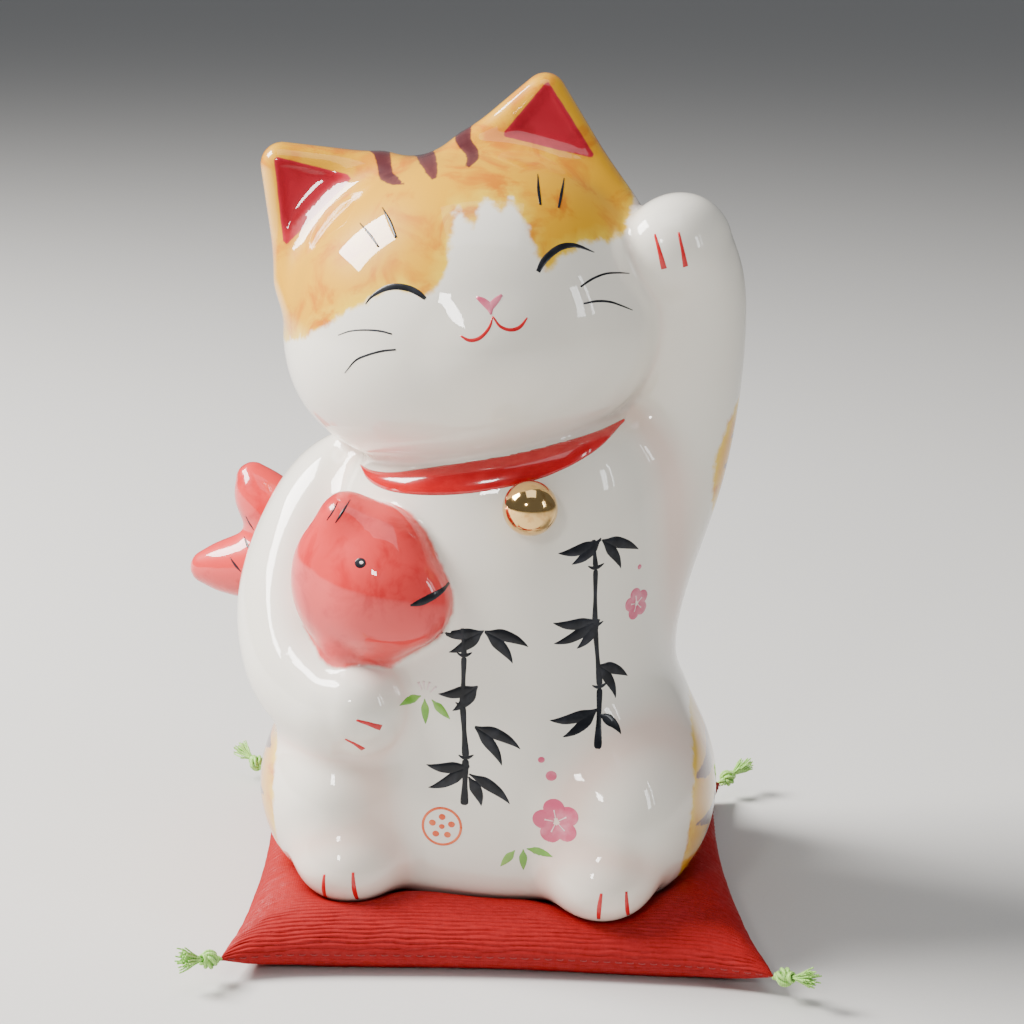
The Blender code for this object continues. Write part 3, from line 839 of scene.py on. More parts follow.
for name, made in castings.items():
    made.data.materials.append(glaze)
    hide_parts(name)
    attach(made, "figurine")
print("glaze on", len(castings), "castings")

# %% [markdown]
# ## Lines of enamel
#
# The lines come last: brows, closed eyes, whiskers, claws and the ink painting are drawn with
# a pointed brush in thick enamel, which stands a little proud of the glaze. Each stroke is a
# thin ribbon that hugs the clay. It is drawn on paper first, as points with a half width, and
# then carried onto the surface from the front.

# %% Stroke tools
BRUSH_START = -75.0                # how far in front of the figure a stroke starts, in y
ACROSS = np.array((-1, -0.85, -0.45, 0, 0.45, 0.85, 1))
UNDER = np.array((0.6, 0, -0.6))
STROKE_SINK = 0.12


def carry(flat, on_face):
    """Carries points (x, z) straight back onto the clay, in the head's frame or the cat's."""
    start = np.stack([flat[:, 0], np.full(len(flat), BRUSH_START), flat[:, 1]], axis=1)
    ahead = np.array((0.0, 1.0, 0.0))
    if on_face:
        start, ahead = HEAD + start @ HEAD_AXES.T, HEAD_AXES @ ahead
    for _ in range(40):
        start = start + ahead * (clay(start) * 0.85)[:, None]
    return settle(start, clay, 2)


def tube_sides(index):
    """The faces of a tube from its rings of corner numbers, with both ends capped."""
    nearby = np.roll(index, -1, axis=1)
    sides = np.stack([index[:-1], nearby[:-1], nearby[1:], index[1:]], axis=2).reshape(-1, 4)
    return sides.tolist() + [index[0][::-1].tolist(), index[-1].tolist()]


def bands(spines, widths, height):
    """Raised bands along spines that lie on the clay, as a list of corners and faces."""
    starts = np.cumsum([0] + [len(spine) for spine in spines])
    forward = np.vstack([np.gradient(spine, axis=0) for spine in spines])
    spine, width = np.vstack(spines), np.concatenate(widths)
    side = np.cross(forward, outward(spine, clay))
    side /= np.linalg.norm(side, axis=1)[:, None] + 1e-9
    places = np.concatenate([ACROSS, UNDER])
    wide = np.maximum(width, 0.02)[:, None, None]
    grid = spine[:, None] + side[:, None] * wide * places[None, :, None]
    flat = settle(grid.reshape(-1, 3), clay, 2, 0.5)
    lift = np.concatenate([height * (1 - ACROSS ** 4) - 0.03, np.full(len(UNDER), -STROKE_SINK)])
    lift = np.tile(lift, len(spine)) * np.repeat(np.clip(width / 0.12, 0.3, 1), len(places))
    flat = (flat + outward(flat, clay) * lift[:, None]).reshape(-1, len(places), 3)
    parts = []
    for start, end in zip(starts, starts[1:]):
        index = np.arange((end - start) * len(places)).reshape(-1, len(places))
        parts.append((flat[start:end].reshape(-1, 3), tube_sides(index)))
    return parts


def brush_path(rows, pace=0.45):
    """A smooth path through a stroke's rows of (x, z, half width)."""
    rows = np.asarray(rows, float)
    longest = np.linalg.norm(np.diff(rows[:, :2], axis=0), axis=1).max()
    return flowing(rows, max(2, int(longest / pace)))


def on_the_clay(paths, on_face=False):
    """Carries flat paths onto the clay, all in one go."""
    lengths = np.cumsum([len(path) for path in paths])[:-1]
    return np.split(carry(np.vstack(paths)[:, :2], on_face), lengths)


def solid_piece(name, parts, material, body):
    """One piece from several closed meshes in the cat's frame, its faces turned outwards."""
    corners, made = [], []
    for flat, sides in parts:
        start = sum(map(len, corners))
        corners.append(flat)
        made += [[start + corner for corner in side] for side in sides]
    mesh = bpy.data.meshes.new(name)
    mesh.from_pydata((np.vstack(corners) + (0, 0, SEAT)) * MM, [], made)
    shape = bmesh.new()
    shape.from_mesh(mesh)
    bmesh.ops.recalc_face_normals(shape, faces=shape.faces)
    shape.to_mesh(mesh)
    shape.free()
    mesh.shade_smooth()
    mesh.materials.append(material)
    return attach(new_object(name, mesh), body)


def enamel(name, strokes, height, material, on_face=False):
    """One piece of enamel from many strokes, each a list of (x, z, half width)."""
    paths = [brush_path(rows) for rows in strokes]
    parts = bands(on_the_clay(paths, on_face), [path[:, 2] for path in paths], height)
    piece = solid_piece(name, parts, material, "figurine")
    return piece


def dot(x, z, radius, squash=1.0):
    """A round dab of the brush as a very short stroke."""
    angles = np.linspace(0.06, math.pi - 0.06, 11)
    return [(x - radius * squash * math.cos(a), z, radius * math.sin(a)) for a in angles]


def enamel_material(name, full, thin, roughness=0.35, gloss=0.7):
    """Brushed enamel: denser where the brush was full."""
    material, tree, shader = finish_material(name, Roughness=roughness, Coat_Weight=gloss,
                                             Coat_Roughness=0.05, Specular_IOR_Level=0.2)
    load = ramp(tree, noise(tree, 330.0, 3.0), 0.42, 0.7)
    wire(tree, shader, Base_Color=mixed(tree, load, full, thin), Normal=glaze_ripple(tree))
    return material


INK = enamel_material("ink_black", (0.004, 0.005, 0.008, 1), (0.02, 0.022, 0.03, 1), gloss=0.3)
RED = enamel_material("claw_red", (0.55, 0.004, 0.010, 1), (0.66, 0.02, 0.025, 1))
PINK = enamel_material("petal_pink", (0.66, 0.10, 0.19, 1), (0.76, 0.24, 0.32, 1))
# Pale enamel for the stamens, and for the painted highlight in the fish's eye
PALE_PETAL_AND_HIGHLIGHT = enamel_material("petal_and_highlight_pale", (0.88, 0.66, 0.66, 1), (0.9, 0.78, 0.76, 1))
GREEN = enamel_material("leaf_green", (0.16, 0.40, 0.045, 1), (0.28, 0.52, 0.10, 1))
ORANGE = enamel_material("roundel_orange", (0.80, 0.10, 0.02, 1), (0.88, 0.2, 0.06, 1))
print("enamels:", [m.name for m in (INK, RED, PINK, PALE_PETAL_AND_HIGHLIGHT, GREEN, ORANGE)])

# %% [markdown]
# ## Drawing the face
#
# A happy cat: two closed eyes like hills, short brows, two whiskers on each cheek, a little
# pink nose and a red mouth. The strokes are written in the head's own frame, so they would
# follow the head if its tilt were changed. Each begins and ends thin, as a brush does when it
# is set down and lifted.

# %% Face strokes
EYES = (((-20.4, 8.6, 0.12), (-18.8, 9.9, 0.36), (-16.3, 10.9, 0.62), (-13.9, 11.1, 0.72),
         (-11.4, 10.4, 0.7), (-9.6, 9.2, 0.62), (-8.4, 7.9, 0.4)),
        ((14.4, 8.5, 0.5), (16.0, 10.2, 0.72), (18.4, 11.5, 0.76), (20.8, 11.9, 0.7),
         (23.4, 11.2, 0.5), (26.4, 9.2, 0.12)))
BROWS = (((-18.6, 23.6, 0.1), (-17, 21.4, 0.26), (-15.6, 18.8, 0.2)),
         ((-13.5, 25.8, 0.1), (-12.5, 23.2, 0.36), (-11.8, 20, 0.3)),
         ((18.6, 25.8, 0.1), (18, 23, 0.36), (17.7, 20.4, 0.3)),
         ((23.8, 23.8, 0.1), (22.5, 21.4, 0.34), (21.2, 19, 0.26)))
WHISKERS = (((-27.2, 3.2, 0.08), (-24.5, 3.8, 0.16), (-21.5, 3.7, 0.2), (-18.5, 3.1, 0.22),
             (-16.3, 2.2, 0.16)),
            ((-27.4, -4.4, 0.1), (-24.7, -2.1, 0.22), (-21.9, -1.2, 0.26), (-18.9, -0.8, 0.27),
             (-16.2, -0.9, 0.2)),
            ((22.2, 3.6, 0.22), (24.8, 4.4, 0.26), (27.7, 4.6, 0.24), (30.4, 4, 0.2),
             (32.8, 3.1, 0.1)),
            ((22.1, 0.3, 0.2), (24.9, 0, 0.27), (27.5, -0.9, 0.26), (29.8, -2.4, 0.2),
             (31.9, -4, 0.1)))
MOUTH = (((-3.1, -0.2, 0.18), (-1.5, -1.4, 0.38), (0.6, -1.3, 0.4), (2.7, 0.2, 0.32),
          (3.9, 2.2, 0.16)),
         ((3.9, 2.2, 0.16), (4.9, 0.1, 0.32), (6.7, -1, 0.4), (8.7, -0.9, 0.4), (10.5, 0.5, 0.16)))
NOSE = (((1.5, 6.4, 0.3), (2.6, 5.4, 0.75), (3.6, 4.0, 0.8), (3.6, 2.6, 0.2)),
        ((6.5, 5.8, 0.3), (5.2, 5, 0.7), (4, 4.1, 0.75), (3.6, 3, 0.2)))

LINE, TOP_LINE = 0.10, 0.16   # how high a stroke stands, and one over another stroke
enamel("face_lines", EYES + BROWS + WHISKERS, LINE, INK, on_face=True)
enamel("mouth_line", MOUTH, LINE, RED, on_face=True)
enamel("nose_dabs", NOSE, LINE, PINK, on_face=True)
print("face:", len(EYES + BROWS + WHISKERS + MOUTH + NOSE), "strokes")

# %% [markdown]
# ## Claws and the fish
#
# Two red strokes stand for the claws of each paw. The fish has a round eye with a painted
# highlight, a white dab of enamel standing in for the glint of light on it, a mouth as one thick
# stroke, and a few fine lines where its fins start.

# %% Claws and fish strokes
CLAWS = (((28.8, 141.6, 0.25), (29.9, 138.6, 0.42), (31.1, 134.8, 0.66)),
         ((33.6, 142.2, 0.25), (34.6, 138.8, 0.4), (35.4, 135.4, 0.6)),
         ((-25.4, 43.2, 0.25), (-23, 42.4, 0.45), (-20.6, 41.2, 0.7)),
         ((-27.8, 38.6, 0.25), (-25.9, 37.5, 0.45), (-24.3, 35.9, 0.66)),
         ((-30.9, 10.2, 0.3), (-31.1, 6.5, 0.5), (-31.0, 3.4, 0.4)),
         ((-24.9, 11.2, 0.3), (-24.6, 7.5, 0.5), (-24.2, 4.4, 0.4)),
         ((26.2, 10.8, 0.3), (25.9, 7.5, 0.5), (25.8, 4.2, 0.4)),
         ((31.2, 11, 0.3), (31.5, 7.5, 0.5), (31.8, 4.6, 0.4)))
FISH_EYE = (-25.8, 75.6)
FISH_LINES = (((-15.2, 67.9, 0.2), (-13.2, 68.5, 0.8), (-11.2, 69.4, 0.85), (-9.4, 70.3, 0.6),
               (-8.4, 71, 0.3)),
              ((-33.7, 82.6, 0.1), (-32.6, 84.4, 0.22), (-31.8, 86.2, 0.1)),
              ((-31.8, 82.4, 0.1), (-30.6, 84.4, 0.28), (-29.4, 86.6, 0.1)),
              ((-59.9, 70.2, 0.1), (-58.9, 68.6, 0.3), (-57.7, 67.4, 0.1)),
              ((-60.2, 65.4, 0.1), (-59, 64, 0.32), (-57.8, 62.8, 0.1)),
              ((-62.8, 61, 0.1), (-61.4, 59.6, 0.32), (-60, 58.4, 0.1)))
enamel("claws", CLAWS, LINE, RED)
enamel("fish_lines", FISH_LINES + (dot(*FISH_EYE, 1.15),), LINE, INK)
# The white dab in the fish's eye is a painted highlight: a glint of light drawn in pale enamel
enamel("fish_eye_painted_highlight", [dot(FISH_EYE[0] + 0.25, FISH_EYE[1] + 0.1, 0.42)], TOP_LINE, PALE_PETAL_AND_HIGHLIGHT)
print("claws:", len(CLAWS), "fish lines:", len(FISH_LINES))

# %% [markdown]
# ## The painting on the belly
#
# Two bamboo canes in black ink grow up the front, with plum blossom and small green sprigs
# beside them and an orange roundel at the foot. Bamboo is drawn with few, quick strokes: a
# cane is short lengths with a gap at each joint, and a leaf is one stroke, pressed and lifted.

# %% Bamboo and blossom
def along(x, z, angle, distance):
    angle = math.radians(angle)
    return x + distance * math.cos(angle), z + distance * math.sin(angle)


def leaf(x, z, angle, length, half_width=1.3, bend=10):
    """A pointed leaf that starts at a twig and droops a little."""
    shares = ((0, 0.12), (0.12, 0.35), (0.36, 1), (0.66, 0.8), (0.88, 0.35), (1, 0.05))
    return [(*along(x, z, angle - bend * share * share, length * share), half_width * wide)
            for share, wide in shares]


def cane(x, z, angle, lengths, half_width=0.85, gap=0.55):
    """A cane of short lengths with a dark, slanting joint after each."""
    strokes = []
    for step, length in enumerate(lengths):
        lean = angle + (3 if step % 2 else -2)
        strokes.append([(*along(x, z, lean, length * share), half_width * wide)
                        for share, wide in ((0, 0.6), (0.08, 1.1), (0.5, 0.72), (0.92, 0.95),
                                            (1, 0.5))])
        x, z = along(x, z, lean, length + gap)
        if step < len(lengths) - 1:
            strokes.append([(x - 1.5, z + 0.25, 0.12), (x - 0.5, z - 0.25, 0.4),
                            (x + 0.6, z - 0.1, 0.42), (x + 1.6, z + 0.5, 0.12)])
        half_width *= 0.9
    return strokes


# Leaves hang from a few twigs in fans of two to four; x, z, angle and length of each
LEFT_LEAVES = ((21.6, 80, 205, 8.6), (21.6, 80.4, 232, 7.4), (21.8, 80, -14, 8),
               (21.8, 80, -48, 7.6), (22, 63.5, 190, 9), (22, 63.4, 216, 9.6),
               (22.2, 63.5, 243, 7), (22.3, 54, -20, 7), (22.3, 54, -52, 8.4),
               (22.8, 45, 200, 9.6), (22.8, 45, 228, 8.4), (23, 44, -30, 6.4))
RIGHT_LEAVES = ((-0.9, 61.5, 196, 9), (-0.9, 61.6, 226, 8.6), (-0.7, 61.5, -8, 9.4),
                (-0.7, 61.3, -36, 8.6), (-1.6, 50, 206, 8.4), (-1.6, 50, 238, 7.4),
                (-1.8, 41.6, -14, 10.4), (-1.8, 41.4, -42, 9.6), (-2.5, 33.4, 194, 9),
                (-2.5, 33.2, 222, 9.8), (-2.5, 31.6, -24, 10.4), (-2.6, 31, -54, 6.6))
bamboo = cane(23.4, 37.5, 94.2, (11.6, 12.4, 11.6, 5.6))
bamboo += cane(-3.2, 25, 93, (9.6, 10.4, 9.8, 5.4))
bamboo += [leaf(*row) for row in LEFT_LEAVES + RIGHT_LEAVES]
enamel("ink_bamboo", bamboo, LINE, INK)

BLOSSOMS = ((15.9, 22.8, 4.9, 1.0), (29.3, 65.2, 3.5, 0.62))   # x, z, radius, squash
BUDS = ((12.1, 35.2, 0.7, 1), (14.3, 32, 1.15, 1), (29.5, 72.9, 0.6, 0.6))
SPRIGS = ((-13.3, 46.8, 203, 4.5), (-12.5, 46.3, 275, 5.2), (-11.0, 46.3, -42, 5.4),
          (7.6, 15.7, 233, 4.8), (9.3, 16, 272, 4.8), (10.0, 16.2, -8, 5.6))
PETAL_AT, PETAL_SIZE = 0.56, 0.46   # shares of the blossom's radius
SPRIG_TOP = (-12.4, 46.6)
petals, stamens = [], []
for x, z, radius, squash in BLOSSOMS:
    for petal in range(5):
        angle = math.radians(90 + 72 * petal + 14)
        out, rise = math.cos(angle) * squash, math.sin(angle)
        petals.append(dot(x + PETAL_AT * radius * out, z + PETAL_AT * radius * rise,
                          PETAL_SIZE * radius, squash))
        stamens.append([(x + share * radius * out, z + share * radius * rise, half_width)
                        for share, half_width in ((0.12, 0.1), (0.42, 0.16), (0.5, 0.26))])
petals += [dot(*bud) for bud in BUDS]
for angle in (118, 98, 76, 48):
    stamens.append([(*along(*SPRIG_TOP, angle, 1.6), 0.12),
                    (*along(*SPRIG_TOP, angle, 3.4), 0.3)])
enamel("plum_petals", petals, LINE, PINK)
enamel("plum_stamens", stamens, TOP_LINE, PALE_PETAL_AND_HIGHLIGHT)
enamel("green_sprigs", [leaf(*row, 0.95, 0) for row in SPRIGS], LINE, GREEN)

ROUNDEL = (-7.7, 19.9)
ROUNDEL_RADIUS = 4.0
rim = [(ROUNDEL[0] + ROUNDEL_RADIUS * math.cos(a), ROUNDEL[1] + ROUNDEL_RADIUS * math.sin(a), 0.3)
       for a in np.linspace(0, 2 * math.pi, 25)]
roundel = [rim] + [dot(*along(*ROUNDEL, 90 + 72 * k, 2.1), 0.72) for k in range(5)]
roundel.append(dot(*ROUNDEL, 0.6))
enamel("orange_roundel", roundel, LINE, ORANGE)
print("belly:", len(bamboo), "ink strokes,", len(petals), "petals and buds")

# %% [markdown]
# ## Collar and bell
#
# The collar is a low band under the chin, glazed red, that runs out to a point on both sides
# and comes back behind the arms. It uses the same ribbon as the strokes, only wider and
# higher. The bell is a gold dome: real gold, fired on as lustre, which is why it works as a
# mirror. A turned profile closes it at the back, inside the clay.

# %% Collar and bell
COLLAR_FRONT = ((-30.4, 88.9, 0.2), (-27.5, 88.5, 1.2), (-23, 88.7, 2.1), (-17, 89.7, 2.9),
                (-9, 91.2, 3.4), (-1, 92.9, 3.5), (7, 95, 3.4), (13, 97, 3), (18, 98.9, 2.2),
                (21.4, 100.4, 1.2), (24.4, 101.9, 0.2))
COLLAR_BACK = ((24, 14, 99.5, 0.3), (20, 20, 98.5, 1.6), (12, 26, 96, 2.4), (1, 29, 93, 2.8),
               (-11, 28, 90, 2.8), (-20, 23, 87.5, 2.4), (-27, 14, 86, 1.4), (-30, 8, 85.6, 0.3))
COLLAR_HEIGHT = 0.55
BELL, BELL_RADIUS, BELL_LIP = np.array((7.5, -37.5, 87.8)), 5.4, 1.1
BELL_SIDES, LIP_FROM = 48, 0.84   # the dome ends and the lip begins at this share of the profile
RED_GLAZE = enamel_material("collar_red", (0.55, 0.003, 0.008, 1), (0.64, 0.012, 0.016, 1),
                            roughness=0.2, gloss=1.0)
front = flowing(COLLAR_FRONT, 9)
back = flowing(COLLAR_BACK, 9)
spines = on_the_clay([front]) + [settle(back[:, :3], clay, 6)]
band_parts = bands(spines, [front[:, 2], back[:, 3]], COLLAR_HEIGHT)
band = solid_piece("collar_band", band_parts, RED_GLAZE, "figurine")
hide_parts("collar")


def bell_skin(p):
    return soft_union(ball(p, BELL, (BELL_RADIUS,) * 3), clay(p) + 0.1, 1.6) - 0.22


axis = outward(settle(BELL[None], clay, 4), clay)[0]
across = np.cross(axis, (0, 0, 1))
across /= np.linalg.norm(across)
upright = np.cross(across, axis)
turns = np.linspace(0, 2 * math.pi, BELL_SIDES, endpoint=False)
rings = []
for share in np.linspace(0.04, 1, 22):
    angle = min(share / LIP_FROM, 1) * math.pi / 2
    lip = max(0.0, share - LIP_FROM) / (1 - LIP_FROM) * BELL_LIP
    out = BELL_RADIUS * math.sin(angle) + lip
    rings.append(BELL + axis * BELL_RADIUS * math.cos(angle)
                 + out * (np.cos(turns)[:, None] * across + np.sin(turns)[:, None] * upright))
skin = settle(np.vstack(rings), bell_skin, 6)
skin = np.vstack([skin, settle(skin[-BELL_SIDES:], clay, 3) - axis * 0.5])
sides = tube_sides(np.arange(len(skin)).reshape(-1, BELL_SIDES))
gold, tree, shader = finish_material("gold_lustre", Metallic=1.0, Roughness=0.07, Coat_Weight=0.3,
                                     Coat_Roughness=0.03)
worn = noise(tree, 600.0, 4.0)
wire(tree, shader, Roughness=ramp(tree, worn, 0.3, 0.8, 0.05, 0.16), Normal=glaze_ripple(tree),
     Base_Color=mixed(tree, ramp(tree, worn, 0.52, 0.72), (0.80, 0.52, 0.20, 1),
                      (0.66, 0.36, 0.11, 1)))
bell = solid_piece("bell_dome", [(skin, sides)], gold, "figurine")
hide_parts("bell")
print("collar:", len(band.data.polygons), "faces; bell:", len(bell.data.polygons), "faces")

# %% [markdown]
# ## The cushion as a plan
#
# The cushion is a square bag of crepe, about 112 mm along a side, filled with wadding and
# sewn along one seam half way up. Its sides pull in between the corners, because the filling
# needs cloth there. Both covers are described on the same square sheet, with u and v from -1
# to 1, so a point keeps its place in the cloth whatever the cloth is bent into later.

# %% Cushion plan
CUSHION_SIDE, PULL_IN, CUSHION_TURN = 112.0, 2.5, math.radians(6.5)
SEAM_HEIGHT, SEAM_ROOM, COVER_RISE = 4.6, 0.95, 6.9
FULLNESS = 9   # the higher, the rounder the cushion's rim


def swell(u, v):
    """How full the cushion is: 0 on the seam, 1 in the middle."""
    across, along_side = (np.clip(1 - np.abs(way) ** FULLNESS, 0, 1) for way in (u, v))
    return np.sqrt(across * along_side)


def in_plan(u, v):
    """Where a point of the sheet lies on the table, before the cushion is turned."""
    half = CUSHION_SIDE / 2
    return u * (half - PULL_IN * (1 - v * v)), v * (half - PULL_IN * (1 - u * u))


def turned(points, angle=CUSHION_TURN):
    c, s = math.cos(angle), math.sin(angle)
    return points @ np.array([[c, s, 0], [-s, c, 0], [0, 0, 1]])


def sheet_grid(columns, rows):
    """Even steps over the sheet, packed closer towards the seam."""
    u, v = (np.sin(np.linspace(-1, 1, n) * math.pi / 2) for n in (columns, rows))
    return np.meshgrid(u, v)


def cushion_sheets(columns, rows):
    """The two covers as grids of points: rows from the front to the back."""
    u, v = sheet_grid(columns, rows)
    x, y = in_plan(u, v)
    full = swell(u, v)
    top = SEAM_HEIGHT + (SEAM_ROOM + COVER_RISE) * full
    bottom = np.maximum(0.0, SEAM_HEIGHT * (1 - 1.25 * full))
    return np.stack([x, y, top], axis=2), np.stack([x, y, bottom], axis=2)


plan_x, plan_y = in_plan(np.array((1.0, 0.0)), np.array((1.0, 1.0)))
print("a corner of the cushion:", (plan_x[0], plan_y[0]), "the middle of a side:", plan_y[1])

# %% [markdown]
# ## Filling the cushion
#
# A cloth simulation blows up the bag, as the wadding does. The covers start a little flat and
# slack, and pressure from inside pulls small folds into the corners. The simulation is made
# ten times too large, since cloth settings are tuned for clothes and not for ornaments, and
# no point may move more than a few millimetres.

# %% Fill the bag
SIM_GRID, SIM_SCALE, SIM_FRAMES, LARGEST_MOVE = 45, 10.0, 20, 2.6
SLACK = np.array((0.985, 0.985, 0.8))   # how much smaller the bag starts, in x, y and z


def bag_mesh(name, top, bottom):
    """One closed mesh from the two sheets, welded along the seam."""
    rows, columns = top.shape[:2]
    upper = np.arange(rows * columns).reshape(rows, columns)
    lower = upper.copy()
    lower[1:-1, 1:-1] = rows * columns + np.arange((rows - 2) * (columns - 2)).reshape(
        rows - 2, columns - 2)
    corners = np.vstack([top.reshape(-1, 3), bottom[1:-1, 1:-1].reshape(-1, 3)])

    def quads(index):
        return np.stack([index[:-1, :-1], index[:-1, 1:], index[1:, 1:], index[1:, :-1]],
                        axis=2).reshape(-1, 4)

    mesh = bpy.data.meshes.new(name)
    mesh.from_pydata(corners * MM, [], np.vstack([quads(upper), quads(lower)[:, ::-1]]).tolist())
    return mesh, upper, lower


def filled(top, bottom):
    """Lets cloth pressure move the covers, and gives back how far each point went."""
    level = np.array((0, 0, SEAM_HEIGHT))
    small = [(sheet - level) * SLACK * SIM_SCALE for sheet in (top, bottom)]
    mesh, upper, lower = bag_mesh("bag", *small)
    bag = new_object("bag", mesh)
    cloth = bag.modifiers.new("filling", "CLOTH")
    settings = cloth.settings
    settings.quality = 6
    settings.mass = 0.3
    settings.tension_stiffness = settings.compression_stiffness = 8
    settings.shear_stiffness = 4
    settings.bending_stiffness = 0.4
    settings.use_pressure = True
    settings.uniform_pressure_force = 4.0
    settings.effector_weights.gravity = 0.0
    scene = bpy.context.scene
    for step in range(1, SIM_FRAMES + 1):
        scene.frame_set(step)
    result = bag.evaluated_get(bpy.context.evaluated_depsgraph_get()).to_mesh()
    places = np.empty(len(result.vertices) * 3)
    result.vertices.foreach_get("co", places)
    places = places.reshape(-1, 3) / MM / SIM_SCALE + level
    scene.frame_set(1)
    bpy.data.objects.remove(bag)
    moved = [places[index] - sheet for index, sheet in ((upper, top), (lower, bottom))]
    reach = [np.linalg.norm(move, axis=2, keepdims=True) for move in moved]
    u, v = sheet_grid(SIM_GRID, SIM_GRID)
    loose = 1 - np.abs(u * v)[..., None] ** 6   # the corners are held by their tassels
    return [move * np.minimum(1, LARGEST_MOVE / np.maximum(far, 1e-6)) * loose
            for move, far in zip(moved, reach)]


top, bottom = cushion_sheets(SIM_GRID, SIM_GRID)
moves = filled(top, bottom)
print("cloth moved:", [round(float(np.linalg.norm(m, axis=2).mean()), 2) for m in moves], "mm")
top, bottom = top + moves[0], bottom + moves[1]

# %% [markdown]
# ## The weight of the cat
#
# The cat presses the top cover flat and the table does the same underneath. Points of the
# cover that would be inside the clay go straight down until they are clear of it, and the
# cloth around them is pulled down with them, as a tent is by a stone.

# %% Press the cushion
CLEAR, LOWEST = 0.35, 1.5   # room under the clay, and how near the table the cover may come


def under_the_cat(sheet):
    """Lowers the top cover until it is clear of the clay."""
    flat = sheet.reshape(-1, 3).copy()
    for _ in range(8):
        away = clay(turned(flat) - (0, 0, SEAT))
        flat[:, 2] -= np.clip(CLEAR - away, 0, 3)
    return np.maximum(flat.reshape(sheet.shape), (-99, -99, LOWEST))


def eased(sheet, kept):
    """Draws each inner point's height towards its neighbours'."""
    height = sheet[..., 2]
    mean = (height[:-2, 1:-1] + height[2:, 1:-1] + height[1:-1, :-2] + height[1:-1, 2:]) / 4
    sheet = sheet.copy()
    inner = sheet[1:-1, 1:-1, 2]
    inner += (1 - kept) * (np.minimum(mean, inner) - inner)
    return sheet


top = under_the_cat(top)
for _ in range(4):
    top = under_the_cat(eased(top, 0.5))
bottom[..., 2] = np.maximum(bottom[..., 2], 0)
print("top cover between", top[..., 2].min().round(1), "and", top[..., 2].max().round(1), "mm")

# %% [markdown]
# ## Crepe
#
# Crepe is woven with a hard-twisted thread that shrinks in the wash and pulls the cloth into
# fine ribs. They run from side to side here, not quite straight, and now and then two of them
# join. Such ribs catch the light on the rounded front, so they are real relief: the covers
# are resampled to a long grid with many rows, and the ribs move it in and out.

# %% Rib the covers
RIB_PITCH, RIB_HEIGHT = 0.98, 0.30
COLUMNS, ROWS = ((96, 640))
MAP_SIZE, UNDERSIDE = 100, 150   # millimetres to a unit of the map, and where the underside starts


def resampled(sheet, columns, rows):
    """The same sheet on a finer grid, through smooth curves in both directions."""
    old = np.linspace(-1, 1, sheet.shape[0])
    for count in (rows, columns):
        want = np.linspace(-1, 1, count)
        place_on = (want + 1) / 2 * (len(old) - 1)
        start = np.minimum(place_on.astype(int), len(old) - 2)
        share = (place_on - start)[:, None, None]
        padded = np.concatenate([2 * sheet[:1] - sheet[1:2], sheet, 2 * sheet[-1:] - sheet[-2:-1]])
        a, b, c, d = (padded[start + k] for k in range(4))
        sheet = 0.5 * (2 * b + (c - a) * share + (2 * a - 5 * b + 4 * c - d) * share ** 2
                       + (3 * b - 3 * c + d - a) * share ** 3)
        sheet = sheet.swapaxes(0, 1)
        old = np.linspace(-1, 1, sheet.shape[0])
    return sheet


def sheet_normals(sheet, sign):
    normal = np.cross(np.gradient(sheet, axis=1), np.gradient(sheet, axis=0)) * sign
    return normal / (np.linalg.norm(normal, axis=2, keepdims=True) + 1e-9)


def wander(x, y, seed, scale):
    """A smooth random field from a few crossed waves."""
    random = np.random.default_rng(seed)
    total = np.zeros_like(x)
    for _ in range(14):
        angle, phase = random.uniform(0, 2 * math.pi, 2)
        pitch = scale * random.uniform(0.5, 2.2)
        total += np.sin((x * math.cos(angle) + y * math.sin(angle)) * 2 * math.pi / pitch + phase)
    return total / 14 ** 0.5


def ribbed(sheet, sign, seed):
    """Moves a sheet in and out along its normals, in ribs that run across it."""
    run = np.linalg.norm(np.diff(sheet, axis=0), axis=2).mean(axis=1)
    along_sheet = np.concatenate([[0], np.cumsum(run)])
    x, s = sheet[..., 0], along_sheet[:, None] + 0 * sheet[..., 0]
    phase = (s / RIB_PITCH + 0.20 * wander(x, s * 2.2, seed, 9)
             + 0.10 * wander(x, s * 3, seed + 1, 3))
    ribs = np.abs(np.sin(phase * math.pi)) ** 0.8 - 0.6
    uneven = 1 + 0.28 * wander(x, s, seed + 2, 4)
    u, v = np.linspace(-1, 1, sheet.shape[1])[None], np.linspace(-1, 1, sheet.shape[0])[:, None]
    rim = np.clip((1 - np.maximum(np.abs(u), np.abs(v))) / 0.03, 0, 1)
    moved = sheet + sheet_normals(sheet, sign) * (ribs * uneven * RIB_HEIGHT * rim)[..., None]
    return moved, s


top_fine, top_run = ribbed(resampled(top, COLUMNS, ROWS), 1, 3)
bottom_fine, bottom_run = ribbed(resampled(bottom, COLUMNS, ROWS), -1, 8)
bottom_fine[..., 2] = np.maximum(bottom_fine[..., 2], 0.02)
seam_ring = [(0, slice(None, -1)), (slice(None, -1), -1), (-1, slice(None, 0, -1)),
             (slice(None, 0, -1), 0)]
seam = np.vstack([top_fine[rows, columns] for rows, columns in seam_ring])
mesh, upper, lower = bag_mesh("crepe_cover", turned(top_fine), turned(bottom_fine))
cloth_map = mesh.uv_layers.new(name="cloth")
spots = np.zeros((len(mesh.vertices), 2))
for index, sheet, run in ((lower, bottom_fine, bottom_run + UNDERSIDE),
                          (upper, top_fine, top_run)):
    spots[index.ravel()] = np.stack([sheet[..., 0], run], axis=2).reshape(-1, 2) / MAP_SIZE
corner_of = np.empty(len(mesh.loops), int)
mesh.loops.foreach_get("vertex_index", corner_of)
cloth_map.data.foreach_set("uv", spots[corner_of].astype(np.float32).ravel())
mesh.shade_smooth()
cover = new_object("crepe_cover", mesh)
print("crepe cover:", len(mesh.polygons), "faces, seam", len(seam), "points")

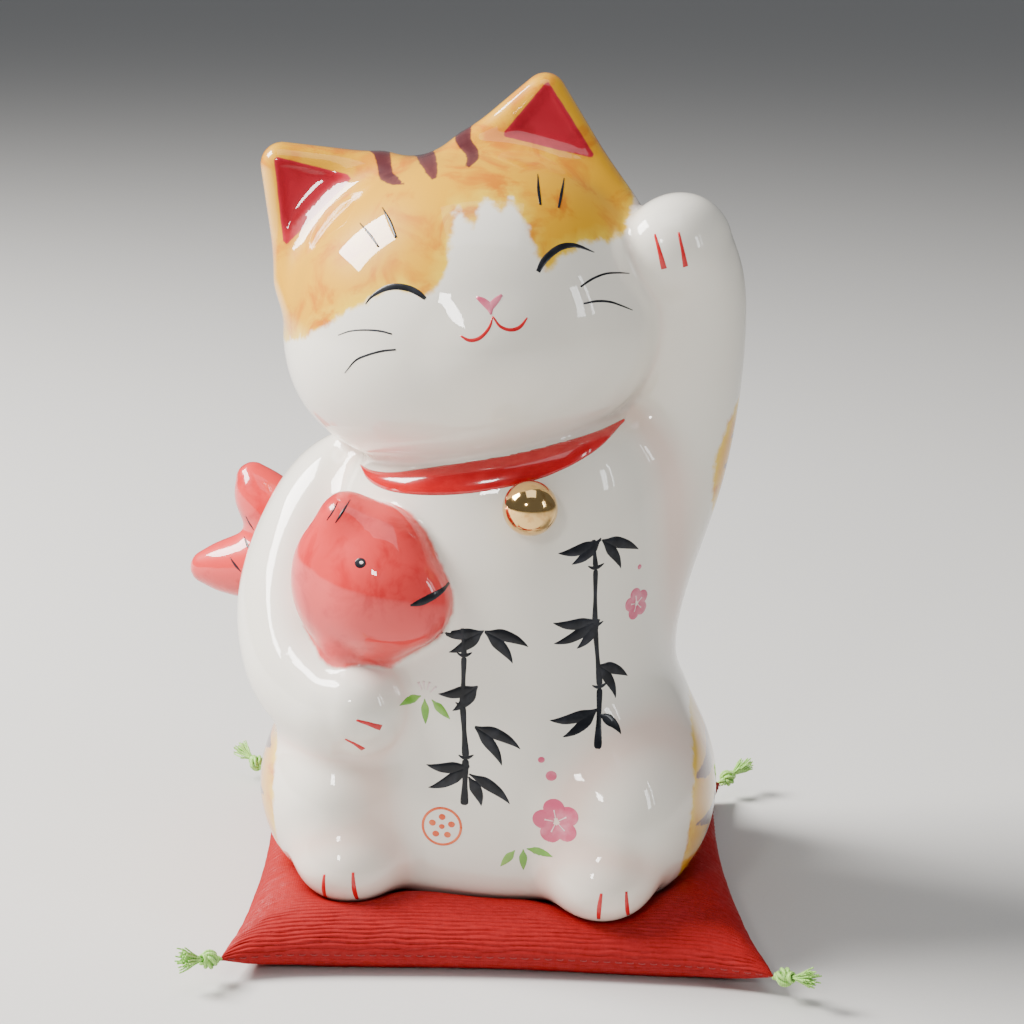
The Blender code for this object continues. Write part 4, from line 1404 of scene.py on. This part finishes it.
# %% [markdown]
# ## Dyed crepe and wadding
#
# The crepe is dyed a deep red. Its twisted threads shine a little where they bend over a rib,
# which is a sheen at grazing angles and small glints. Under the ribs lies the weave itself, a
# grid of about four threads to a millimetre, drawn on the cloth's own flat map.

# %% Crepe material
weave_tree, takes, gives = group(
    "fine_weave", (("Map", "NodeSocketVector", (0, 0, 0)), ("Threads", "NodeSocketFloat", 400.0)),
    (("Height", "NodeSocketFloat"), ("Slub", "NodeSocketFloat")))
crossed = []
for direction in ("X", "Y"):
    wave = put(weave_tree, "ShaderNodeTexWave", bands_direction=direction, Vector=takes["Map"],
               Scale=takes["Threads"], Distortion=1.5, Detail=1.0, Detail_Scale=2.0)
    crossed.append(wave.outputs["Fac"])
wire(weave_tree, gives, Height=calc(weave_tree, "MAXIMUM", *crossed),
     Slub=noise(weave_tree, 70.0, 5.0, takes["Map"], Roughness=0.7))

crepe, tree, shader = finish_material("red_crepe", Roughness=0.72, Sheen_Weight=0.03,
                                      Sheen_Roughness=0.3, Sheen_Tint=(1.0, 0.2, 0.16, 1),
                                      Specular_IOR_Level=0.3)
cloth_place = put(tree, "ShaderNodeUVMap", uv_map="cloth").outputs["UV"]
weave = use(tree, weave_tree, Map=cloth_place, Threads=64.0)
slub = weave.outputs["Slub"]
dye = mixed(tree, noise(tree, 60.0, 4.0), (0.30, 0.001, 0.002, 1), (0.42, 0.002, 0.003, 1))
dye = mixed(tree, ramp(tree, slub, 0.35, 0.7, 0.0, 0.5), dye, (0.22, 0.0005, 0.0015, 1))
wire(tree, shader, Base_Color=dye, Roughness=ramp(tree, slub, 0.4, 0.7, 0.48, 0.85),
     Normal=bump(tree, weave.outputs["Height"], 0.6, 0.00006))
cover.data.materials.append(crepe)
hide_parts("cushion_top_cover", "cushion_bottom_cover")
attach(cover, "cushion")

filling, tree, shader = finish_material("wadding_fibre", Roughness=0.95, Sheen_Weight=0.3,
                                        Sheen_Roughness=0.5)
tufts = noise(tree, 160.0, 6.0, Roughness=0.7, Distortion=1.2)
wire(tree, shader, Base_Color=mixed(tree, tufts, (0.86, 0.84, 0.79, 1), (0.66, 0.63, 0.56, 1)),
     Normal=bump(tree, tufts, 0.8, 0.0006))
wadding = bpy.data.objects["cushion_wadding"]
wadding.data.materials.clear()
wadding.data.materials.append(filling)
print("crepe and wadding:", len(weave_tree.nodes), "nodes in the weave")

# %% [markdown]
# ## Stitches along the seam
#
# The seam is closed by hand with small running stitches of red thread. One stitch is a short
# bent tube, and Geometry Nodes set nearly two hundred of them along the seam, turned to follow it.

# %% Seam stitches
def geometry_tree(name, takes):
    """A new geometry node tree with a geometry input, named value inputs and one output."""
    tree = bpy.data.node_groups.new(name, "GeometryNodeTree")
    tree.interface.new_socket("Geometry", in_out="INPUT", socket_type="NodeSocketGeometry")
    for label, kind, value in takes:
        socket = tree.interface.new_socket(label, in_out="INPUT", socket_type=kind)
        if value is not None:
            socket.default_value = value
    tree.interface.new_socket("Geometry", in_out="OUTPUT", socket_type="NodeSocketGeometry")
    return tree, tree.nodes.new("NodeGroupInput").outputs, tree.nodes.new("NodeGroupOutput")


def threaded(tree, curve, thickness):
    """Round thread along a curve."""
    section = put(tree, "GeometryNodeCurvePrimitiveCircle", Resolution=5, Radius=thickness)
    return put(tree, "GeometryNodeCurveToMesh", Curve=curve, Profile_Curve=section.outputs[0],
               Fill_Caps=True).outputs[0]


def end_tree(tree, shape, material, gives):
    """Ends a tree with real geometry in its material."""
    solid = put(tree, "GeometryNodeRealizeInstances", Geometry=shape)
    coloured = put(tree, "GeometryNodeSetMaterial", Geometry=solid.outputs[0], Material=material)
    tree.links.new(coloured.outputs[0], gives.inputs[0])


def grown(carrier, tree, name, **values):
    """Runs a tree on an object and gives back the plain mesh that it makes."""
    modifier = carrier.modifiers.new("grow", "NODES")
    modifier.node_group = tree
    sockets = {item.name: item.identifier for item in tree.interface.items_tree
               if item.in_out == "INPUT"}
    for label, value in values.items():
        modifier[sockets[label.replace("_", " ")]] = value
    depsgraph = bpy.context.evaluated_depsgraph_get()
    mesh = bpy.data.meshes.new_from_object(carrier.evaluated_get(depsgraph))
    mesh.name = name
    carrier.modifiers.remove(modifier)
    bpy.data.objects.remove(carrier)
    return mesh


def poly_curve(name, points, closed):
    """A curve object through points given in millimetres on the table."""
    curve = bpy.data.curves.new(name, "CURVE")
    curve.dimensions = "3D"
    spline = curve.splines.new("POLY")
    spline.points.add(len(points) - 1)
    rows = np.hstack([np.asarray(points) * MM, np.ones((len(points), 1))])
    spline.points.foreach_set("co", rows.astype(np.float32).ravel())
    spline.use_cyclic_u = closed
    return new_object(name, curve)


stitch_tree, takes, gives = geometry_tree("running_stitch", (
    ("Pitch", "NodeSocketFloat", 0.0026), ("Length", "NodeSocketFloat", 0.0016),
    ("Thread", "NodeSocketFloat", 0.00016), ("Material", "NodeSocketMaterial", None)))
spaced = put(stitch_tree, "GeometryNodeResampleCurve", mode="LENGTH", Curve=takes["Geometry"],
             Length=takes["Pitch"])
half_length = calc(stitch_tree, "MULTIPLY", takes["Length"], 0.5)
ends = [put(stitch_tree, "ShaderNodeCombineXYZ",
            Z=calc(stitch_tree, "MULTIPLY", half_length, sign)) for sign in (-1.0, 1.0)]
rise = put(stitch_tree, "ShaderNodeCombineXYZ",
           X=calc(stitch_tree, "MULTIPLY", takes["Thread"], 2.4))
arc = put(stitch_tree, "GeometryNodeCurveQuadraticBezier", Resolution=5, Start=ends[0].outputs[0],
          Middle=rise.outputs[0], End=ends[1].outputs[0])
tangent = put(stitch_tree, "GeometryNodeInputTangent")
aim = put(stitch_tree, "FunctionNodeAlignRotationToVector", Vector=tangent.outputs[0])
set_out = put(stitch_tree, "GeometryNodeInstanceOnPoints", Points=spaced.outputs[0],
              Instance=threaded(stitch_tree, arc.outputs[0], takes["Thread"]),
              Rotation=aim.outputs[0])
end_tree(stitch_tree, set_out.outputs[0], takes["Material"], gives)

thread_red, tree, shader = finish_material("seam_thread", Roughness=0.5, Sheen_Weight=0.3)
twist = put(tree, "ShaderNodeTexWave", Vector=place(tree), Scale=900.0, Distortion=3.0)
wire(tree, shader, Base_Color=mixed(tree, twist.outputs["Fac"], (0.16, 0.001, 0.002, 1),
                                    (0.34, 0.003, 0.004, 1)))
outwards = seam - seam.mean(axis=0)
outwards /= np.linalg.norm(outwards, axis=1)[:, None]
seam_line = poly_curve("seam_line", turned(seam + outwards * 0.05), True)
mesh = grown(seam_line, stitch_tree, "seam_stitches", Pitch=0.0024, Length=0.0013,
             Thread=0.00011, Material=thread_red)
mesh.shade_smooth()
stitches = new_object("seam_stitches", mesh)
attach(stitches, "cushion")
print("stitches:", len(mesh.polygons), "faces")

# %% [markdown]
# ## Thread tassels
#
# Each corner ends in a short two-ply cord, a knot of the same green thread, and a tuft of cut
# ends that spread and curl. The tuft is grown by Geometry Nodes: all threads start at one point,
# each with its own tilt and length, and noise bends them more towards their tips. Each corner
# has its own fixed seed, so no two tassels are alike.

# %% Tassels
tuft_tree, takes, gives = geometry_tree("thread_tuft", (
    ("Threads", "NodeSocketInt", 44), ("Length", "NodeSocketFloat", 0.006),
    ("Spread", "NodeSocketFloat", 0.3), ("Thread", "NodeSocketFloat", 0.00017),
    ("Curl", "NodeSocketFloat", 0.0007), ("Seed", "NodeSocketInt", 1),
    ("Material", "NodeSocketMaterial", None)))
starts = put(tuft_tree, "GeometryNodePoints", Count=takes["Threads"])
tip = put(tuft_tree, "ShaderNodeCombineXYZ", Z=takes["Length"])
line = put(tuft_tree, "GeometryNodeCurvePrimitiveLine", Start=(0.0, 0.0, 0.0), End=tip.outputs[0])
steps = put(tuft_tree, "GeometryNodeResampleCurve", Curve=line.outputs[0], Count=9)
low = calc(tuft_tree, "MULTIPLY", takes["Spread"], -1.0)
lows = put(tuft_tree, "ShaderNodeCombineXYZ", X=low, Y=low, Z=-3.14)
highs = put(tuft_tree, "ShaderNodeCombineXYZ", X=takes["Spread"], Y=takes["Spread"], Z=3.14)
tilt = put(tuft_tree, "FunctionNodeRandomValue", data_type="FLOAT_VECTOR", i0=lows.outputs[0],
           i1=highs.outputs[0], Seed=takes["Seed"])
uneven_end = put(tuft_tree, "FunctionNodeRandomValue", data_type="FLOAT", i2=0.72, i3=1.0,
                 Seed=takes["Seed"])
tuft = put(tuft_tree, "GeometryNodeInstanceOnPoints", Points=starts.outputs[0],
           Instance=steps.outputs[0], Rotation=tilt.outputs[0], Scale=uneven_end.outputs[1])
loose = put(tuft_tree, "GeometryNodeRealizeInstances", Geometry=tuft.outputs[0])
number = put(tuft_tree, "GeometryNodeCurveOfPoint")
share = put(tuft_tree, "GeometryNodeSplineParameter")
here = put(tuft_tree, "GeometryNodeInputPosition")
apart = calc(tuft_tree, "MULTIPLY_ADD", number.outputs[0], 3.7, takes["Seed"])
drift = put(tuft_tree, "ShaderNodeTexNoise", noise_dimensions="4D", Vector=here.outputs[0],
            W=apart, Scale=190.0, Detail=1.0)
centred = put(tuft_tree, "ShaderNodeVectorMath", operation="SUBTRACT", i0=drift.outputs["Color"],
              i1=(0.5, 0.5, 0.5))
bend = put(tuft_tree, "ShaderNodeVectorMath", operation="SCALE", i0=centred.outputs[0],
           Scale=calc(tuft_tree, "MULTIPLY", share.outputs["Factor"], takes["Curl"]))
bent = put(tuft_tree, "GeometryNodeSetPosition", Geometry=loose.outputs[0], Offset=bend.outputs[0])
tubes = threaded(tuft_tree, bent.outputs[0], takes["Thread"])
end_tree(tuft_tree, tubes, takes["Material"], gives)

silk, tree, shader = finish_material("green_thread", Roughness=0.45, Sheen_Weight=0.35,
                                     Sheen_Roughness=0.4)
ply = put(tree, "ShaderNodeTexWave", Vector=place(tree), Scale=700.0, Distortion=6.0, Detail=2.0)
green = mixed(tree, ply.outputs["Fac"], (0.24, 0.52, 0.07, 1), (0.52, 0.84, 0.24, 1))
wire(tree, shader, Base_Color=mixed(tree, noise(tree, 500.0), green, (0.36, 0.70, 0.13, 1)),
     Normal=bump(tree, ply.outputs["Fac"], 0.5, 0.00005))


def thread_tube(path, radius, sides=6):
    """A closed tube along a path, with its ends drawn to a point."""
    forward = np.gradient(path, axis=0)
    forward /= np.linalg.norm(forward, axis=1)[:, None] + 1e-9
    side = np.cross(forward, (0.31, 0.52, 0.8))
    side /= np.linalg.norm(side, axis=1)[:, None] + 1e-9
    other = np.cross(forward, side)
    angles = np.linspace(0, 2 * math.pi, sides, endpoint=False)
    width = np.full(len(path), radius)
    width[[0, -1]] *= 0.3
    c, s = np.cos(angles)[None, :, None], np.sin(angles)[None, :, None]
    grid = path[:, None] + width[:, None, None] * (side[:, None] * c + other[:, None] * s)
    return grid.reshape(-1, 3), tube_sides(np.arange(len(path) * sides).reshape(-1, sides))


def knot_parts(seed):
    """A two-ply cord, a round knot of wound thread and a bound neck, along +Z from the corner."""
    def helix(radius, angle, height):
        return np.stack([radius * np.cos(angle), radius * np.sin(angle), height], axis=1)

    t = np.linspace(0, 1, 60)
    plies = [(helix(0.42, start + t * 2.6 * math.pi, -0.8 + t * 2.6), 0.42)
             for start in (0, math.pi)]
    angle = np.linspace(0, 2 * math.pi, 260, endpoint=False)
    around, through = 7, 3   # a torus knot: turns through its hole, and turns about its axis
    wound = helix(1.05 + 0.62 * np.cos(around * angle), through * angle,
                  2.0 + 1.0 * np.sin(around * angle))
    neck = np.linspace(0, 5 * math.pi * 2, 90)
    return plies + [(np.roll(wound, seed * 11, axis=0), 0.40),
                    (helix(0.95, neck, 3.35 + 0.022 * neck), 0.24)]


TASSEL_RISE, TASSEL_START, NECK_Z = math.radians(16), 1.0, 3.7
OFF_THE_TABLE = 0.0001   # metres
corners = {"front_left": (1, -1), "front_right": (-1, -1), "back_left": (1, 1),
           "back_right": (-1, 1)}
for seed, (where, (side_x, side_y)) in enumerate(corners.items(), 1):
    corner = turned(np.array([[side_x, side_y, 0.0]]) * CUSHION_SIDE / 2)[0]
    out = corner / np.linalg.norm(corner)
    ahead = Vector((*(out * math.cos(TASSEL_RISE))[:2], math.sin(TASSEL_RISE)))
    facing = ahead.to_track_quat("Z", "Y").to_matrix().to_4x4()
    start = Vector((*corner[:2], SEAM_HEIGHT)) + ahead * TASSEL_START
    seat = Matrix.Translation(start * MM) @ facing
    anchor = new_object("anchor", bpy.data.meshes.new("anchor"))
    mesh = grown(anchor, tuft_tree, "tassel_threads_" + where, Threads=46, Length=0.0066,
                 Spread=0.34, Thread=0.00017, Curl=0.0022, Seed=seed, Material=silk)
    shape = bmesh.new()
    shape.from_mesh(mesh)
    bmesh.ops.translate(shape, verts=shape.verts, vec=(0, 0, NECK_Z * MM))
    for path, radius in knot_parts(seed):
        flat, sides = thread_tube(path, radius)
        verts = [shape.verts.new(Vector(place_of) * MM) for place_of in flat]
        for side in sides:
            shape.faces.new([verts[corner_number] for corner_number in side])
    bmesh.ops.recalc_face_normals(shape, faces=shape.faces)
    bmesh.ops.transform(shape, matrix=seat, verts=shape.verts)
    lowest = min(vert.co.z for vert in shape.verts)
    for vert in shape.verts:
        if vert.co.z < OFF_THE_TABLE:
            vert.co.z = OFF_THE_TABLE - 0.02 * min(vert.co.z, 0.0)
    shape.to_mesh(mesh)
    shape.free()
    mesh.shade_smooth()
    tassel = new_object("tassel_threads_" + where, mesh)
    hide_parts("tassel_" + where)
    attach(tassel, "cushion")
    print("tassel", where, len(mesh.polygons), "faces, lowest point", round(lowest / MM, 2), "mm")

# %% [markdown]
# ## Floor and light
#
# The cat stands on a pale table. A large softbox to its right and above is the main light and
# leaves the long highlight on the forehead. A smaller one in front gives the glint on the
# nose, and a weak, slatted light from the other side draws streaks, as a window does. The
# world is a pale grey that fills the shadows.

# %% Floor and lights
FLOOR_REACH = 10   # metres
floor_mesh = bpy.data.meshes.new("floor")
floor_corners = [(x * FLOOR_REACH, y * FLOOR_REACH, 0)
                 for x, y in ((-1, -1), (1, -1), (1, 1), (-1, 1))]
floor_mesh.from_pydata(floor_corners, [], [(0, 1, 2, 3)])
floor = new_object("floor", floor_mesh)
paper, tree, shader = finish_material("pale_paper", Roughness=0.7, Specular_IOR_Level=0.2)
wire(tree, shader, Base_Color=mixed(tree, noise(tree, 900.0), (0.66, 0.65, 0.63, 1),
                                    (0.69, 0.68, 0.66, 1)))
floor_mesh.materials.append(paper)

world = bpy.data.worlds.new("studio")
world.use_nodes = True
wire(world.node_tree, world.node_tree.nodes["Background"], Color=(0.80, 0.83, 0.88, 1),
     Strength=0.21)
bpy.context.scene.world = world


def softbox(name, azimuth, elevation, distance, width, height, power, colour=(1, 1, 1)):
    """An area light that looks at the cat from a direction given in degrees."""
    lamp = bpy.data.lights.new(name, "AREA")
    lamp.shape = "RECTANGLE"
    lamp.size, lamp.size_y = width, height
    lamp.energy = power
    lamp.color = colour
    made = new_object(name, lamp)
    azimuth, elevation = math.radians(azimuth), math.radians(elevation)
    towards = Vector((math.cos(elevation) * math.cos(azimuth),
                      math.cos(elevation) * math.sin(azimuth), math.sin(elevation)))
    made.location = Vector((0, 0, 0.09)) + towards * distance
    made.rotation_euler = towards.to_track_quat("Z", "Y").to_euler()
    return made


softbox("window", 182, 40, 1.1, 0.50, 0.46, 42, (1.0, 0.975, 0.94))
softbox("front", -103, 27, 1.3, 0.13, 0.13, 3, (1.0, 0.98, 0.95))
softbox("overhead", -80, 76, 1.3, 0.8, 0.8, 4, (0.97, 0.98, 1.0))
softbox("slat_wide", -24, 22, 1.1, 0.09, 0.34, 1.3, (0.95, 0.98, 1.0))
softbox("slat_thin", -16, 24, 1.1, 0.03, 0.42, 0.5, (0.95, 0.98, 1.0))
